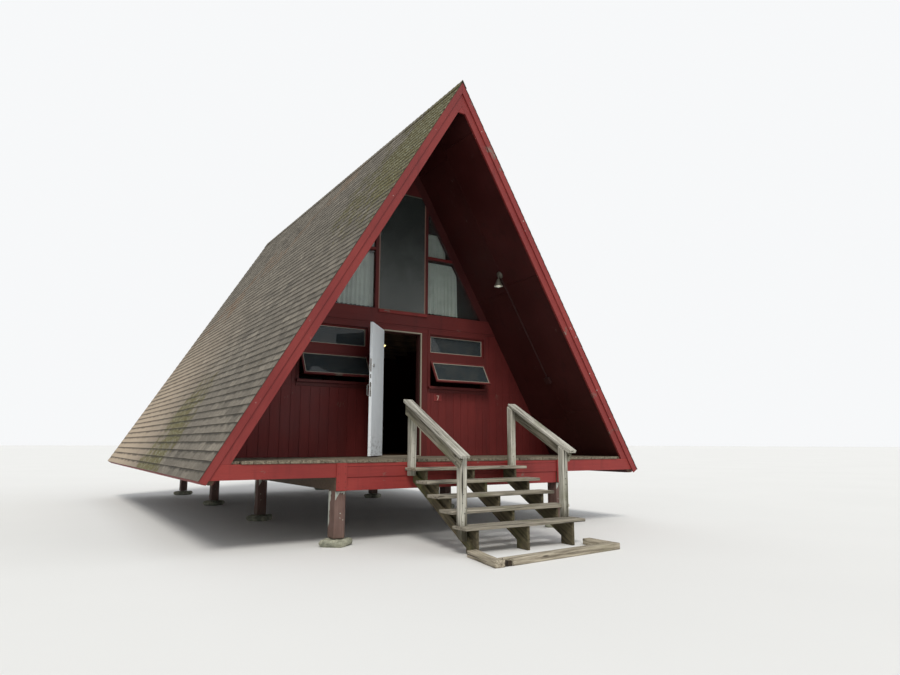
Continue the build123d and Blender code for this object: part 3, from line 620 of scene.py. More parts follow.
def glass_finish(name, clear, light, dusty):
    """Window glass under a film of dust. light and dusty are (low panes, high panes), and so is
    clear unless all panes are as clear."""
    f = Finish(name, IOR=1.38)
    here = f.place()
    height = (f.split(here)[2], DECK + HEADER_LOW, DECK + HEADER_TOP)
    f.put("Transmission Weight", f.steps(*height, *clear) if isinstance(clear, tuple) else clear)
    dust = f.noise(here, 6, 6, 0.65)
    film = f.steps(dust, 0.4, 0.8, 0, 0.5)
    f.tint, high_tint = (f.mix(film, *pair) for pair in zip(light, dusty))
    f.over(high_tint, *height)
    return f.done(f.steps(dust, 0.4, 0.75, 0.02, 0.1), f.noise(here, 1.3, 2), 0.002)


def screen_finish(name):
    """Insect screen, woven of dark wire with small open squares. It is lighter towards the foot and
    darker towards the top: a painted reflection of the dark soffit above and the bright ground
    below.
    """
    f = Finish(name, Metallic=0.2)
    here = f.place()
    weave = f.math("MAXIMUM", f.wave(here, 160, 0), f.wave(here, 160, 0, "Z"))
    # Painted reflection: the wire is darker towards the top and lighter towards the foot.
    dust = f.waver(f.split(here)[2], f.noise(here, 3.4, 5), 0.12)
    f.tint = f.mix(f.steps(dust, DECK + 2.3, DECK + 4.1), (104, 108, 106), (44, 50, 48))
    f.put("Alpha", f.steps(weave, 0.55, 0.8, 0.45, 1.0))
    return f.done(0.7, weave, 0.0003)


def cloth_finish(name, base):
    """A plain woven curtain with fine ribs, a little sheen and light coming through."""
    f = Finish(name, Transmission_Weight=0.25, Sheen_Weight=0.2)
    thread = f.grain()
    weave = f.plus(f.times(f.wave(thread, 95, 1.2), 0.7),
                   f.times(f.wave(thread, 210, 0.6, "Y"), 0.3))
    f.tint = f.mix(f.steps(weave, 0.2, 0.8, 0, 0.3), base, dim(base, 0.82))
    f.over((200, 204, 196), f.noise(f.place(), 4.2, 5), 0.5, 0.75, 0, 0.3)
    return f.done(0.9, weave, 0.0006)


def lit_glass(name, base, strength):
    """A frosted lamp glass."""
    f = Finish(name, Subsurface_Weight=0.2, Emission_Strength=strength)
    frost = f.noise(f.place(), 160, 4)
    f.tint = f.mix(f.steps(frost, 0.3, 0.7, 0, 0.25), base, dim(base, 0.88))
    f.put("Emission Color", f.tint)
    return f.done(0.45, frost, 0.0004)


RED = painted("red_trim", (124, 40, 38), (140, 55, 51), 0.55)
STRIP_RED = painted("strip_red", (124, 40, 38), (142, 57, 53), 0.55, specks=0.75)
RIM_RED = painted("rim_red", (134, 42, 39), (152, 58, 52), 0.3)
# The wall, header, gable and mullion reds are darker copies of the trim red: painted shade of the
# porch roof. The back wall and its gable take the wall red as well.
WALL_RED_PAINTED_SHADE = painted("wall_red_painted_shade", (100, 30, 28), (114, 39, 36))
HEADER_RED_PAINTED_SHADE = painted("header_red_painted_shade", (88, 27, 25), (102, 36, 33))
GABLE_RED_PAINTED_SHADE = painted("gable_red_painted_shade", (66, 20, 19), (80, 27, 25))
RAIL_RED = painted("rail_red", (108, 33, 31), (122, 43, 40))
MULLION_RED_PAINTED_SHADE = painted("mullion_red_painted_shade", (80, 25, 24), (94, 33, 31))
SASH_RED = painted("sash_red", (92, 33, 33), (118, 52, 50), 0.5)
# The soffit red is the trim red darkened: painted shade of the roof overhead.
SOFFIT_RED_PAINTED_SHADE = painted("soffit_red_painted_shade", (62, 20, 18), (74, 27, 24))
GREY_WOOD = weathered("weathered_wood", (208, 204, 192), (104, 100, 87), 0.4)
POST_WOOD = weathered("post_wood", (218, 214, 200), (112, 107, 92), 0.45, darker_foot=(0.27, 0.5))
RAIL_WOOD = weathered("rail_wood", (170, 164, 146), (80, 76, 62), 0.5, grime_and_shadow_under_cap=True)
TREAD_WOOD = weathered("tread_wood", (180, 172, 155), (88, 80, 67), 0.45)
DECK_WOOD = weathered("deck_wood", (144, 133, 115), (72, 63, 50), 0.25)
TIMBER_WOOD = weathered("timber_wood", (194, 183, 162), (100, 90, 74), 0.4)
ROTTEN_WOOD = weathered("rotten_wood", (66, 54, 42), (8, 7, 6), 0.1)
STRINGER_WOOD = weathered("stringer_wood", (106, 97, 75), (50, 44, 32), 0.6)
FRAMING = plywood("framing_lumber", (104, 82, 60), (64, 48, 36))
FRAMING_Y = plywood("framing_along", (98, 78, 58), (58, 44, 34), 90)
SHEATHING = plywood("sheathing_boards", (128, 104, 78), (84, 64, 46), 90)
FLOOR_WOOD = plywood("floor_boards", (122, 94, 66), (78, 56, 40))
INNER_WOOD = plywood("inner_wood", (150, 118, 82), (104, 76, 52))
SHINGLES = shingle_finish("shingles")
# The layer under the tabs is dark so that the slots between tabs show painted shade.
SHINGLE_BASE_PAINTED_SHADE = stone_finish("shingle_slots_painted_shade", (66, 62, 54), (32, 30, 26), spots=0.1)
STONE = stone_finish("fieldstone", (176, 175, 154), (96, 98, 84))
PIER = pier_finish("pier_wood")
PIER_BARE = weathered("pier_bare", (206, 208, 196), (128, 136, 130))
DOOR_PALE = enamel("door_pale", (246, 252, 255), (204, 208, 204))
DOOR_RED = painted("door_red", (104, 30, 30), (122, 42, 40), 0.15)
JAMB_PAINT = jamb_finish("jamb_paint")
SASH_PALE = enamel("glazing_strip", (172, 166, 150), (128, 120, 106))
SCREEN_PALE = enamel("screen_frame", (146, 112, 98), (110, 84, 72))
STEEL = metal("steel", (206, 206, 202), rough=0.32, rusted=0.2)
OLD_STEEL = metal("old_nails", (70, 60, 54), rough=0.55, rusted=0.8)
NAIL_HOLE = metal("rusted_holes", (40, 33, 27), (58, 40, 28), 0.1, rough=0.8, rusted=0.8)
LAMP_METAL = metal("lamp_metal", (104, 101, 90), metallic=0.3, rough=0.45, rusted=0.3)
LAMP_WHITE = enamel("lamp_inside", (226, 226, 218), (190, 186, 170))
BULB = lit_glass("bulb_glass", (240, 236, 220), 0.25)
CEILING_GLASS = lit_glass("ceiling_light_glass", (255, 232, 160), 1.8)
CONDUIT = metal("conduit_paint", (58, 26, 24), (84, 82, 68), 0.1, rough=0.6, rusted=0.3)
GLASS = glass_finish("window_glass", (0.6, 0.98), ((78, 88, 92), (226, 234, 232)),
                     ((128, 126, 118), (196, 204, 200)))
BACK_GLASS = glass_finish("back_window_glass", 0.12, ((64, 70, 72), (72, 78, 80)),
                          ((52, 56, 54), (60, 64, 62)))
SCREEN = screen_finish("screen_wire")
CLOTH = cloth_finish("curtain_cloth", (250, 250, 243))
PLATE_PAINT = painted("plate_paint", (130, 44, 42), (144, 56, 52))
DIGIT_PAINT = enamel("digit_paint", (206, 176, 160), (160, 120, 108))


# CAD nodes that stay, with a finish and eased edges

def dress(node, material, ease=0.0015):
    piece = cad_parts[node]
    piece.data.materials.clear()
    piece.data.materials.append(material)
    if ease:
        weld = piece.modifiers.new("weld", "WELD")
        weld.merge_threshold = 0.0001
        bevel = piece.modifiers.new("bevel", "BEVEL")
        bevel.width, bevel.segments = ease, 2
        bevel.limit_method, bevel.angle_limit = "ANGLE", radians(40)


for node, material in {
        "roof_boards_right": SHEATHING, "roof_boards_left": SHEATHING, "rafters": FRAMING,
        "floor_joists": FRAMING, "girders": FRAMING_Y, "cabin_floor": FLOOR_WOOD,
        "loft_joists": FRAMING, "loft_floor": INNER_WOOD, "door_frame": JAMB_PAINT}.items():
    dress(node, material)
for node, material in {
        "front_glass": GLASS, "awning_glass": GLASS, "back_glass": BACK_GLASS,
        "door_hardware": STEEL, "door_hinges": STEEL, "lamp_conduit": CONDUIT}.items():
    dress(node, material, ease=0)


# Roof covering

EXPOSURE_WANTED = 0.1276
TAB = 0.305
SLOT = 0.009
BUTT = 0.0085
TUCK = 0.02
TAB_UNDER = 0.0105
VERGES = (-OVERHANG, ROOF_LENGTH + OVERHANG)
CAP_LENGTH = 0.127
CAP_RUN = 0.13
CAP_THICK = 0.009
CAP_SHEET = 0.0035


def slope_place(side, run, y, height):
    """A point of the left (-1) or right (1) slope: down the slope, along it and off it."""
    x = run * cos(PITCH) + height * sin(PITCH)
    return Vector((side * x, y, APEX - run * sin(PITCH) + height * cos(PITCH)))


def slope_solid(shape, side, upper, lower, tone, start, index=0):
    """A closed solid between two faces, each in rows of two (run, y, height) points. Its grain
    is each point's share of the course's exposure, counted from start."""
    flat = [point for face in (upper, lower) for row in face for point in row]
    grain = [((run - start) / EXPOSURE_WANTED, y, 0) for run, y, _ in flat]
    low = 2 * len(upper)
    last = low - 2
    faces = []
    for a in range(0, last, 2):
        b = a + 2
        faces += [[a, b, b + 1, a + 1], [low + a, low + a + 1, low + b + 1, low + b],
                  [a, low + a, low + b, b], [a + 1, b + 1, low + b + 1, low + a + 1]]
    faces += [[0, 1, low + 1, low], [last, low + last, low + last + 1, last + 1]]
    shape.add([slope_place(side, *point) for point in flat],
              [f[::-1] for f in faces] if side < 0 else faces, grain, tone, index)


def shingle_slope(side, hand, seed):
    shape = Shape(seed)
    rnd = shape.random
    courses = round(RUN / EXPOSURE_WANTED)
    exposure = RUN / courses
    y_low, y_high = VERGES
    base = [[[(run, y, -depth) for y in VERGES] for run in (0, RUN)] for depth in (BUTT, SHINGLE)]
    # The layer under the tabs, finished dark: painted shade in the slots.
    slope_solid(shape, side, *base, 0.1, 0, index=1)
    for course in range(courses):
        start = course * exposure
        top, butt = max(0.0, start - TUCK), (course + 1) * exposure
        y = y_low - (course % 2) * TAB / 2 - (course // 2 % 3) * 0.012
        course_tone = rnd.uniform(-0.1, 0.1)
        while y < y_high:
            left = max(y_low + rnd.uniform(0, 0.002), y + SLOT / 2)
            right = min(y_high - rnd.uniform(0, 0.002), y + TAB - SLOT / 2)
            y += TAB
            if right - left < 0.012:
                continue
            slant = rnd.uniform(-0.001, 0.001)
            end = min(RUN - abs(slant), butt - abs(rnd.gauss(0, 0.0014)))
            mid = top + 0.62 * (end - top)
            lift = [-abs(rnd.gauss(0, 0.0009)) for _ in range(4)]
            upper = [((top, left, -BUTT), (top, right, -BUTT)),
                     ((mid, left, -0.0032 + lift[0]), (mid, right, -0.0032 + lift[1])),
                     ((end - slant, left, lift[2]), (end + slant, right, lift[3]))]
            lower = [[(run, along, -TAB_UNDER) for run, along, _ in row] for row in upper]
            tone = min(1, max(0, rnd.gauss(0.52, 0.17) + course_tone))
            slope_solid(shape, side, upper, lower, tone, start)
    shape.stand_for(f"shingles_{hand}", "tabs", "shingle", SHINGLES, SHINGLE_BASE_PAINTED_SHADE)


def ridge_caps():
    """Caps folded over the ridge, each lapped on the next towards the back."""
    shape = Shape(13)
    rnd = shape.random
    y_low, y_high = VERGES
    count = round((y_high - y_low) / CAP_LENGTH)
    step = (y_high - y_low) / count
    folds = ((-1, 1.0), (-1, 0.5), (-1, 0.05), (1, 0), (1, 0.05), (1, 0.5), (1, 1.0))
    n = len(folds)
    for i in range(count):
        y0, y1 = y_low + i * step, min(y_high, y_low + (i + 1) * step + 0.015)
        run = CAP_RUN - rnd.uniform(0, 0.004)
        butt = (y0 + rnd.uniform(0, 0.001), CAP_THICK - rnd.uniform(0, 0.0008))
        points = []
        for y, height in (butt, (y1, CAP_SHEET)):
            for low in (height, height - CAP_SHEET):
                for side, share in folds:
                    lift = -0.0006 if share == 0.5 else 0
                    points.append(slope_place(side, run * share, y, low + lift) if share
                                  else Vector((0, y, APEX + low / cos(PITCH))))
        faces = []
        for a in range(n - 1):
            b, c, d = n + a, 2 * n + a, 3 * n + a
            faces += [[a, c, c + 1, a + 1], [b, b + 1, d + 1, d], [a, a + 1, b + 1, b],
                      [c, d, d + 1, c + 1]]
        faces += [[0, n, 3 * n, 2 * n], [n - 1, 3 * n - 1, 4 * n - 1, 2 * n - 1]]
        grain = [(0.6 + 0.4 * (y1 - p.y) / (y1 - y0), 0, 0) for p in points]
        shape.add(points, [f[::-1] for f in faces], grain, rnd.uniform(0.1, 0.8))
    shape.build("ridge_caps", [SHINGLES], "shingle", ["ridge_cap"])


shingle_slope(1, "right", 11)
shingle_slope(-1, "left", 12)
ridge_caps()


# Rake boards, strips and gussets at both ends

GUSSET = 0.107
GUSSET_THICK = 0.030


def to_gable(y, thickness, back):
    """Where a piece of the front gable starts and ends along Y, or its twin at the back."""
    return (ROOF_LENGTH - y - thickness, ROOF_LENGTH - y) if back else (y, y + thickness)


def rake_trim(back, end):
    boards, strips, gussets = (Shape(seed + back) for seed in (21, 23, 25))
    seam = -DECK_BOARD
    board = [(MITRE, roof_top(SHINGLE)), (roof_x(SHINGLE, seam), seam),
             (roof_x(RAKE_INNER, seam), seam), (MITRE, roof_top(RAKE_INNER))]
    strip = [(MITRE, roof_top(SHINGLE)), slope_point(SHINGLE, RUN), slope_point(STRIP_INNER, RUN),
             (MITRE, roof_top(STRIP_INNER))]
    for side in (1, -1):
        for shape, outline, place in ((boards, board, (0, RAKE)), (strips, strip, (-STRIP, STRIP))):
            low, high = to_gable(*place, back)
            shape.prism(mirrored(outline, side), low, high, run=down(side), ease=0.003)
        nail_rake(boards, strips, side, back, high + 0.0002 if back else low - 0.0002)
    top = roof_top(RAKE_INNER)
    half = roof_x(RAKE_INNER, top - GUSSET)
    gussets.prism([(-half, top - GUSSET), (half, top - GUSSET), (0, top)],
                  *to_gable(0, GUSSET_THICK, back), ease=0.003)
    boards.stand_for(f"rake_boards_{end}", "wood", "red_trim", RED, OLD_STEEL)
    strips.stand_for(f"rake_strips_{end}", "wood", "red_trim", STRIP_RED, OLD_STEEL)
    gussets.build(f"rake_gusset_{end}", [RED], "red_trim", ["rake_gussets"])


def nail_rake(boards, strips, side, back, face):
    """Pairs of nails every rafter or so down the boards."""
    wall = ROOF_LENGTH if back else 0
    run = 0.25
    while run < RUN - 0.3:
        for shape, depths, y in ((strips, (0.03, 0.088), face), (boards, (0.13, 0.19), wall)):
            for depth in depths:
                x, z = slope_point(depth, run + shape.random.uniform(-0.012, 0.012))
                if shape is strips or z >= 0:
                    shape.nail((side * x, y, z), (0, 1 if back else -1, 0))
        run += 0.41


rake_trim(False, "front")
rake_trim(True, "back")


# Soffit and ceiling: sheets of plywood with open seams

SHEET = 1.22
SHEET_LONG = 2.44
SEAM = 0.003
SOFFIT_SEAMS = (0.038, 0.87)
SHEET_ENDS = (0.77, 0.66)
EAVE_SEAMS = (RAKE, 3.4, 7.1, ROOF_LENGTH - RAKE)


def ceiling(side, hand, seed):
    shape = Shape(seed)
    edges = list(SOFFIT_SEAMS)
    while edges[-1] < ROOF_LENGTH - RAKE:
        edges.append(min(ROOF_LENGTH - RAKE, edges[-1] + SHEET))
    for number, (low, high) in enumerate(zip(edges, edges[1:])):
        foot = (APEX - SOFFIT * cos(PITCH) - SHEET_ENDS[number % 2]) / sin(PITCH)
        breaks = [RUN - EAVE_BOARD, foot, foot - SHEET_LONG, foot - 2 * SHEET_LONG]
        breaks = [b for b in breaks if b > 0] + [0]
        for far, near in zip(breaks, breaks[1:]):
            depths = (SOFFIT_FACE, SOFFIT)
            upper = [slope_point(d, near + SEAM / 2) if near else (0.0005, roof_top(d))
                     for d in depths]
            lower = [slope_point(d, far - SEAM / 2) for d in depths]
            outline = clip([upper[0], lower[0], lower[1], upper[1]], 0, -1, -EAVE_LOW)
            shape.prism(mirrored(outline, side), low + SEAM / 2, high - SEAM / 2, run=down(side),
                        ease=0.001)
    shape.stand_for(f"ceiling_{hand}", "sheets", "soffit", SOFFIT_RED_PAINTED_SHADE)


def eave_boards():
    """The board that closes the rafters' ends along each eave, in lengths butted end to end."""
    shape = Shape(33)
    for side in (-1, 1):
        outline = [slope_point(SHINGLE, RUN - EAVE_BOARD), slope_point(SHINGLE, RUN),
                   slope_point(STRIP_INNER, RUN), slope_point(STRIP_INNER, RUN - EAVE_BOARD)]
        for low, high in zip(EAVE_SEAMS, EAVE_SEAMS[1:]):
            shape.prism(mirrored(outline, side), low + 0.001, high - 0.001, run=(0, 1, 0))
    shape.stand_for("eave_boards", "wood", "red_trim", RED)


ceiling(1, "right", 31)
ceiling(-1, "left", 32)
eave_boards()


# Floor platform

RIM = 0.038
RIM_GROOVE = (-DECK_BOARD - 0.044, 0.0015)
BEAM = (0.012, 0.088)
POST_BOARD_THICK = 0.019
DECK_GAP = 0.006
DECK_WIDTH = 0.1397
NOSING = 0.015
JOIST = 0.038
JOIST_STEP = 0.609


def rims():
    shape = Shape(41)
    post = GIRDER_X - POST_BOARD / 2
    groove, gap = RIM_GROOVE
    for back in (False, True):
        place = to_gable(0, RIM, back)
        for x_low, x_high in ((-WIDE, -post), (post, WIDE)):
            shape.prism(under_slope(rect(x_low, x_high, RIM_LOW, -DECK_BOARD), SHINGLE), *place)
        for low, high in ((RIM_LOW, groove - gap), (groove + gap, -DECK_BOARD)):
            shape.prism(rect(-post + 0.001, post - 0.001, low, high), *place)
    shape.stand_for("rim_boards", "wood", "red_trim", RIM_RED)
    beam = Shape(42)
    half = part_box("front_beam")[1].x
    beam.prism(rect(-half, half, BEAM_LOW, RIM_LOW - 0.001), *BEAM, ease=0.003)
    beam.stand_for("front_beam", "wood", "red_trim", RIM_RED)
    posts = Shape(43)
    half = POST_BOARD / 2
    for x in (-GIRDER_X, GIRDER_X):
        board = rect(x - half, x + half, BEAM_LOW, -DECK_BOARD)
        posts.prism(board, -POST_BOARD_THICK, 0, ease=0.003)
        for across in (-0.045, 0.045):
            for z in (-0.08, -0.17, -0.27, -0.34):
                posts.nail((x + across, -POST_BOARD_THICK, z), TO_FRONT, 0.005)
    posts.stand_for("post_boards", "wood", "red_trim", RIM_RED, OLD_STEEL)


def porch_deck():
    """Deck boards laid front to back, nailed to each joist."""
    shape = Shape(44)
    rnd = shape.random
    reach = roof_x(SOFFIT, -DECK_BOARD)
    count = round(2 * reach / (DECK_WIDTH + DECK_GAP))
    pitch = 2 * reach / count
    joists = [RIM + JOIST / 2 + i * JOIST_STEP for i in range(3)]
    for i in range(count):
        left = -reach + i * pitch + DECK_GAP / 2
        right = left + pitch - DECK_GAP
        outline = under_slope(rect(left, right, -DECK_BOARD, 0), SOFFIT)
        if len(outline) < 3:
            continue
        in_nose = max(abs(left), abs(right)) < roof_x(RAKE_INNER, 0)
        by_post = any(left < side * x < right for side in (-1, 1)
                      for x in (NEWEL[0], sum(NEWEL) / 2, NEWEL[1]))
        front = RAKE if not in_nose else 0.001 if by_post else -NOSING + rnd.uniform(0, 0.004)
        outline = [(x, z - (rnd.uniform(0, 0.0012) if z > -0.01 else 0)) for x, z in outline]
        shape.prism(outline, front, WALL, run=(0, 1, 0), ease=0.004)
        for y in joists:
            for x in (left + 0.03, right - 0.03):
                if abs(x) < roof_x(SOFFIT, 0) - 0.01:
                    x += rnd.uniform(-0.004, 0.004)
                    shape.nail((x, y + rnd.uniform(-0.006, 0.006), -0.0008), UP, 0.0045)
    shape.stand_for("porch_deck", "boards", "deck", DECK_WOOD, OLD_STEEL)


rims()
porch_deck()


# Piers on rough stones

PIER_HALF = (0.0735, 0.1)
STONE_HALF = (0.24, 0.21)
STONE_HEIGHT = 0.1
STONE_TOP = GROUND + STONE_HEIGHT
STONE_RINGS = ((0.84, 0.0), (0.95, 0.2), (1.0, 0.45), (0.99, 0.7), (0.94, 0.9), (0.86, 0.98),
               (0.7, 1.0), (0.4, 1.0))
PEEL = (-0.0005, 0.003)      # how far a bare patch stands out, and how far it is let in
PIERS_A_SIDE = 4


def pier_rows():
    low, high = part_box("piers")
    first, last = low.y - FRONT + PIER_HALF[1], high.y - FRONT - PIER_HALF[1]
    return [first + (last - first) * i / (PIERS_A_SIDE - 1) for i in range(PIERS_A_SIDE)]


def piers():
    shape = Shape(51)
    for y in pier_rows():
        for side in (-1, 1):
            x = side * GIRDER_X
            outline = rect(x - PIER_HALF[0], x + PIER_HALF[0], STONE_TOP, BEAM_LOW)
            shape.prism(outline, y - PIER_HALF[1], y + PIER_HALF[1], run=UP, ease=0.006,
                        cuts=0.12, jitter=0.001)
            peel(shape, side, x, y)
    shape.stand_for("piers", "wood", "pier", PIER, PIER_BARE)


def peel(shape, side, x, y):
    """Bare wood where the coat has come off the rear of the outer face and round the head."""
    uniform = shape.random.uniform
    edge = 0.007
    face, back, top = x + side * PIER_HALF[0], y + PIER_HALF[1] - edge, BEAM_LOW - edge
    foot = STONE_TOP + uniform(0.06, 0.16)
    strip = [(back, foot), (back, top)]
    for i in range(16):
        up = 1 - i / 16
        width = 0.028 + 0.05 * up ** 2 + uniform(-0.012, 0.014)
        strip.append((back - width, foot + (top - foot) * up))
    shape.plate(strip, *sorted(face - side * depth for depth in PEEL), "x")
    left, right, front = x - PIER_HALF[0] + edge, x + PIER_HALF[0] - edge, y - PIER_HALF[1]
    fringe = [(right, top), (left, top), (left, top - uniform(0.06, 0.11))]
    for i in range(1, 12):
        share = i / 12
        drop = 0.085 * max(0, 1 - 2.6 * share) + 0.012 + uniform(0, 0.014) + 0.02 * (share > 0.8)
        fringe.append((left + (right - left) * share, top - drop))
    in_front = [front + depth for depth in PEEL]
    shape.plate(fringe, *in_front, "y")
    for _ in range(3):
        cx, cz = uniform(left + 0.02, right - 0.02), uniform(foot + 0.1, top - 0.2)
        size = uniform(0.004, 0.01)
        chip = [(cx + size * uniform(0.7, 1.3) * cos(t * pi / 4),
                 cz + 0.6 * size * uniform(0.7, 1.3) * sin(t * pi / 4)) for t in range(8)]
        shape.plate(chip, *in_front, "y")


def stones():
    """Rough slabs with broken corners, flat below and uneven on top and round the edge."""
    shape = Shape(52)
    around = 48
    for number, y in enumerate(pier_rows()):
        for side in (-1, 1):
            centre = Vector((side * GIRDER_X, y, GROUND))
            seed = Vector((number * 7.3, side * 3.1, 0))
            points = []
            for share, level in STONE_RINGS:
                for i in range(around):
                    turn = 2 * pi * i / around
                    c, s = cos(turn), sin(turn)
                    square = 1 / max(abs(c) ** 0.8 + abs(s) ** 0.8, 1.0) * 1.16
                    where = seed + Vector((c, s, level * 0.7))
                    broken = 0.15 * (0.5 + 0.5 * noise.noise(where * 2.4))
                    rough = 1 - broken - 0.1 * abs(noise.noise(where * 8))
                    reach = min(1.0, square) * share * rough
                    top = 0.016 * noise.noise(seed + Vector((c * share, s * share, 4)) * 6)
                    z = STONE_HEIGHT * level + (top - 0.014 if level > 0.6 else 0)
                    points.append(centre + Vector((STONE_HALF[0] * c * reach,
                                                   STONE_HALF[1] * s * reach, z)))
            faces = []
            for a in range(0, len(points) - around, around):
                for i in range(around):
                    j = (i + 1) % around
                    faces.append([a + i, a + j, a + around + j, a + around + i])
            faces += [list(range(around))[::-1], list(range(len(points) - around, len(points)))]
            shape.add(points, faces)
    shape.build("footing_stones", [STONE], "fieldstone", ["pier_footings"])


piers()
stones()


# Front and back walls. A shape that is moved TO_BACK makes the same piece for the back wall.

GROOVE = 0.008
GROOVE_DEEP = 0.006
PLANK = 0.1524
FIRST_GROOVE = -21 * PLANK - 0.065
SIDING_JOINT = 1.10
HEADER_LINE = 2.165
BEAD = 0.009
OPENINGS = [(left, left + WINDOW_WIDTH, *edges) for left in WINDOWS for edges in (UPPER, LOWER)]
BEHIND_TRIM = [(left - TRIM, left + WINDOW_WIDTH + TRIM, TRIM_LOW, HEADER_LOW) for left in WINDOWS]
SASH_PLACE = (WALL + 0.03, WALL + 0.07)
FRAMED = (DOOR_LEFT - JAMB, DOOR_RIGHT + JAMB)


def cells(outline_x, outline_z, holes):
    """Rectangles that fill an area, leaving out the holes."""
    xs = {*outline_x, *[x for h in holes for x in h[:2] if outline_x[0] < x < outline_x[1]]}
    zs = {*outline_z, *[z for h in holes for z in h[2:] if outline_z[0] < z < outline_z[1]]}
    xs, zs = sorted(xs), sorted(zs)
    for x0, x1 in zip(xs, xs[1:]):
        for z0, z1 in zip(zs, zs[1:]):
            x, z = (x0 + x1) / 2, (z0 + z1) / 2
            if not any(h[0] < x < h[1] and h[2] < z < h[3] for h in holes):
                yield rect(x0, x1, z0, z1)


def siding(shape, x_low, x_high):
    """Grooved sheets: planks with open grooves on a solid core, cut to the slope."""
    for cell in cells((x_low, x_high), (0, HEADER_LOW), OPENINGS):
        cell = under_slope(cell, SOFFIT)
        if len(cell) > 2:
            shape.prism(cell, WALL + GROOVE_DEEP, WALL_BACK, ease=0.0001, tone=0.2)
    x = FIRST_GROOVE
    while x < x_high:
        left, right = max(x_low, x + GROOVE / 2), min(x_high, x + PLANK - GROOVE / 2)
        x += PLANK
        if right - left < 0.01:
            continue
        for edges in ((0.002, SIDING_JOINT - 0.001), (SIDING_JOINT + 0.001, HEADER_LOW)):
            for part in cells((left, right), edges, BEHIND_TRIM):
                part = under_slope(part, SOFFIT)
                if len(part) > 2 and abs(area_of(part)) > 1e-4:
                    shape.prism(part, WALL, WALL + GROOVE_DEEP + 0.0005, run=UP, ease=0.0008)


def header(shape, sill_index):
    """Two boards between the storeys, with the sill of the tall window on them."""
    face = WALL - HEADER_PROUD
    lower = under_slope(rect(-WIDE, WIDE, HEADER_LOW, HEADER_LINE - 0.001), SOFFIT)
    shape.prism(lower, face + 0.003, WALL_BACK)
    upper = under_slope(rect(-WIDE, WIDE, HEADER_LINE + 0.001, HEADER_TOP), SOFFIT)
    shape.prism(upper, face, WALL_BACK, ease=0.003)
    low = HEADER_TOP - 0.06
    shape.prism(rect(TALL[0] - 0.008, TALL[1] + 0.008, low, low + 0.052), face - 0.03, face + 0.002,
                ease=0.004, index=sill_index)


def gable(shape):
    """Raking trim, mullions, rails and the boards over the tall window."""
    back = WALL + GABLE_DEEP
    for side in (1, -1):
        trim = [(0.0005, roof_top(SOFFIT)), (roof_x(SOFFIT, HEADER_TOP), HEADER_TOP),
                (roof_x(GABLE_TRIM, HEADER_TOP), HEADER_TOP), (0.0005, roof_top(GABLE_TRIM))]
        shape.prism(mirrored(trim, side), WALL, back, run=down(side), ease=0.003, index=1)
        ends = sorted((MULLIONS[0][0] if side < 0 else MULLIONS[1][1], side * WIDE))
        shape.prism(under_slope(rect(*ends, *RAIL), GABLE_TRIM), WALL + 0.002, back, ease=0.003)
    for ends in MULLIONS:
        shape.prism(under_slope(rect(*ends, HEADER_TOP, HIGH), GABLE_TRIM), WALL + 0.001, back,
                    run=UP, ease=0.003, index=2)
    over = under_slope(rect(*TALL, TALL_TOP, HIGH), GABLE_TRIM)
    shape.prism(over, WALL + 0.003, back, ease=0.003, index=2)


def border(shape, left, right, low, high, width, y_low, y_high, back, **look):
    """Stiles, and rails between them whose face lies this far back."""
    for x in (left, right - width):
        shape.prism(rect(x, x + width, low, high), y_low, y_high, **look)
    for z in (low, high - width):
        shape.prism(rect(left + width, right - width, z, z + width), y_low + back, y_high, **look)


def sash(shape, left, right, low, high, y_low, y_high):
    """Stiles and rails, with a pale strip that holds the glass."""
    border(shape, left, right, low, high, SASH, y_low, y_high, 0.0006)
    border(shape, left + SASH, right - SASH, low + SASH, high - SASH, BEAD, y_low + 0.004,
           (y_low + y_high) / 2, 0.0004, index=1, ease=0.001)


def trim_boards(shape, window):
    """Flat boards round a pair of openings, and the sill below them."""
    left, right, face = window - TRIM, window + WINDOW_WIDTH + TRIM, WALL - TRIM_THICK
    back = WALL + 0.002
    for x in (left, right - TRIM):
        shape.prism(rect(x, x + TRIM, TRIM_LOW, HEADER_LOW), face, back)
    for edges in ((UPPER[1], HEADER_LOW), (LOWER[1], UPPER[0]), (TRIM_LOW, LOWER[0] - TRIM)):
        shape.prism(rect(window, window + WINDOW_WIDTH, *edges), face + 0.0008, back)
    shape.prism(rect(left, right, LOWER[0] - TRIM, LOWER[0]), face - 0.045, back, ease=0.004)


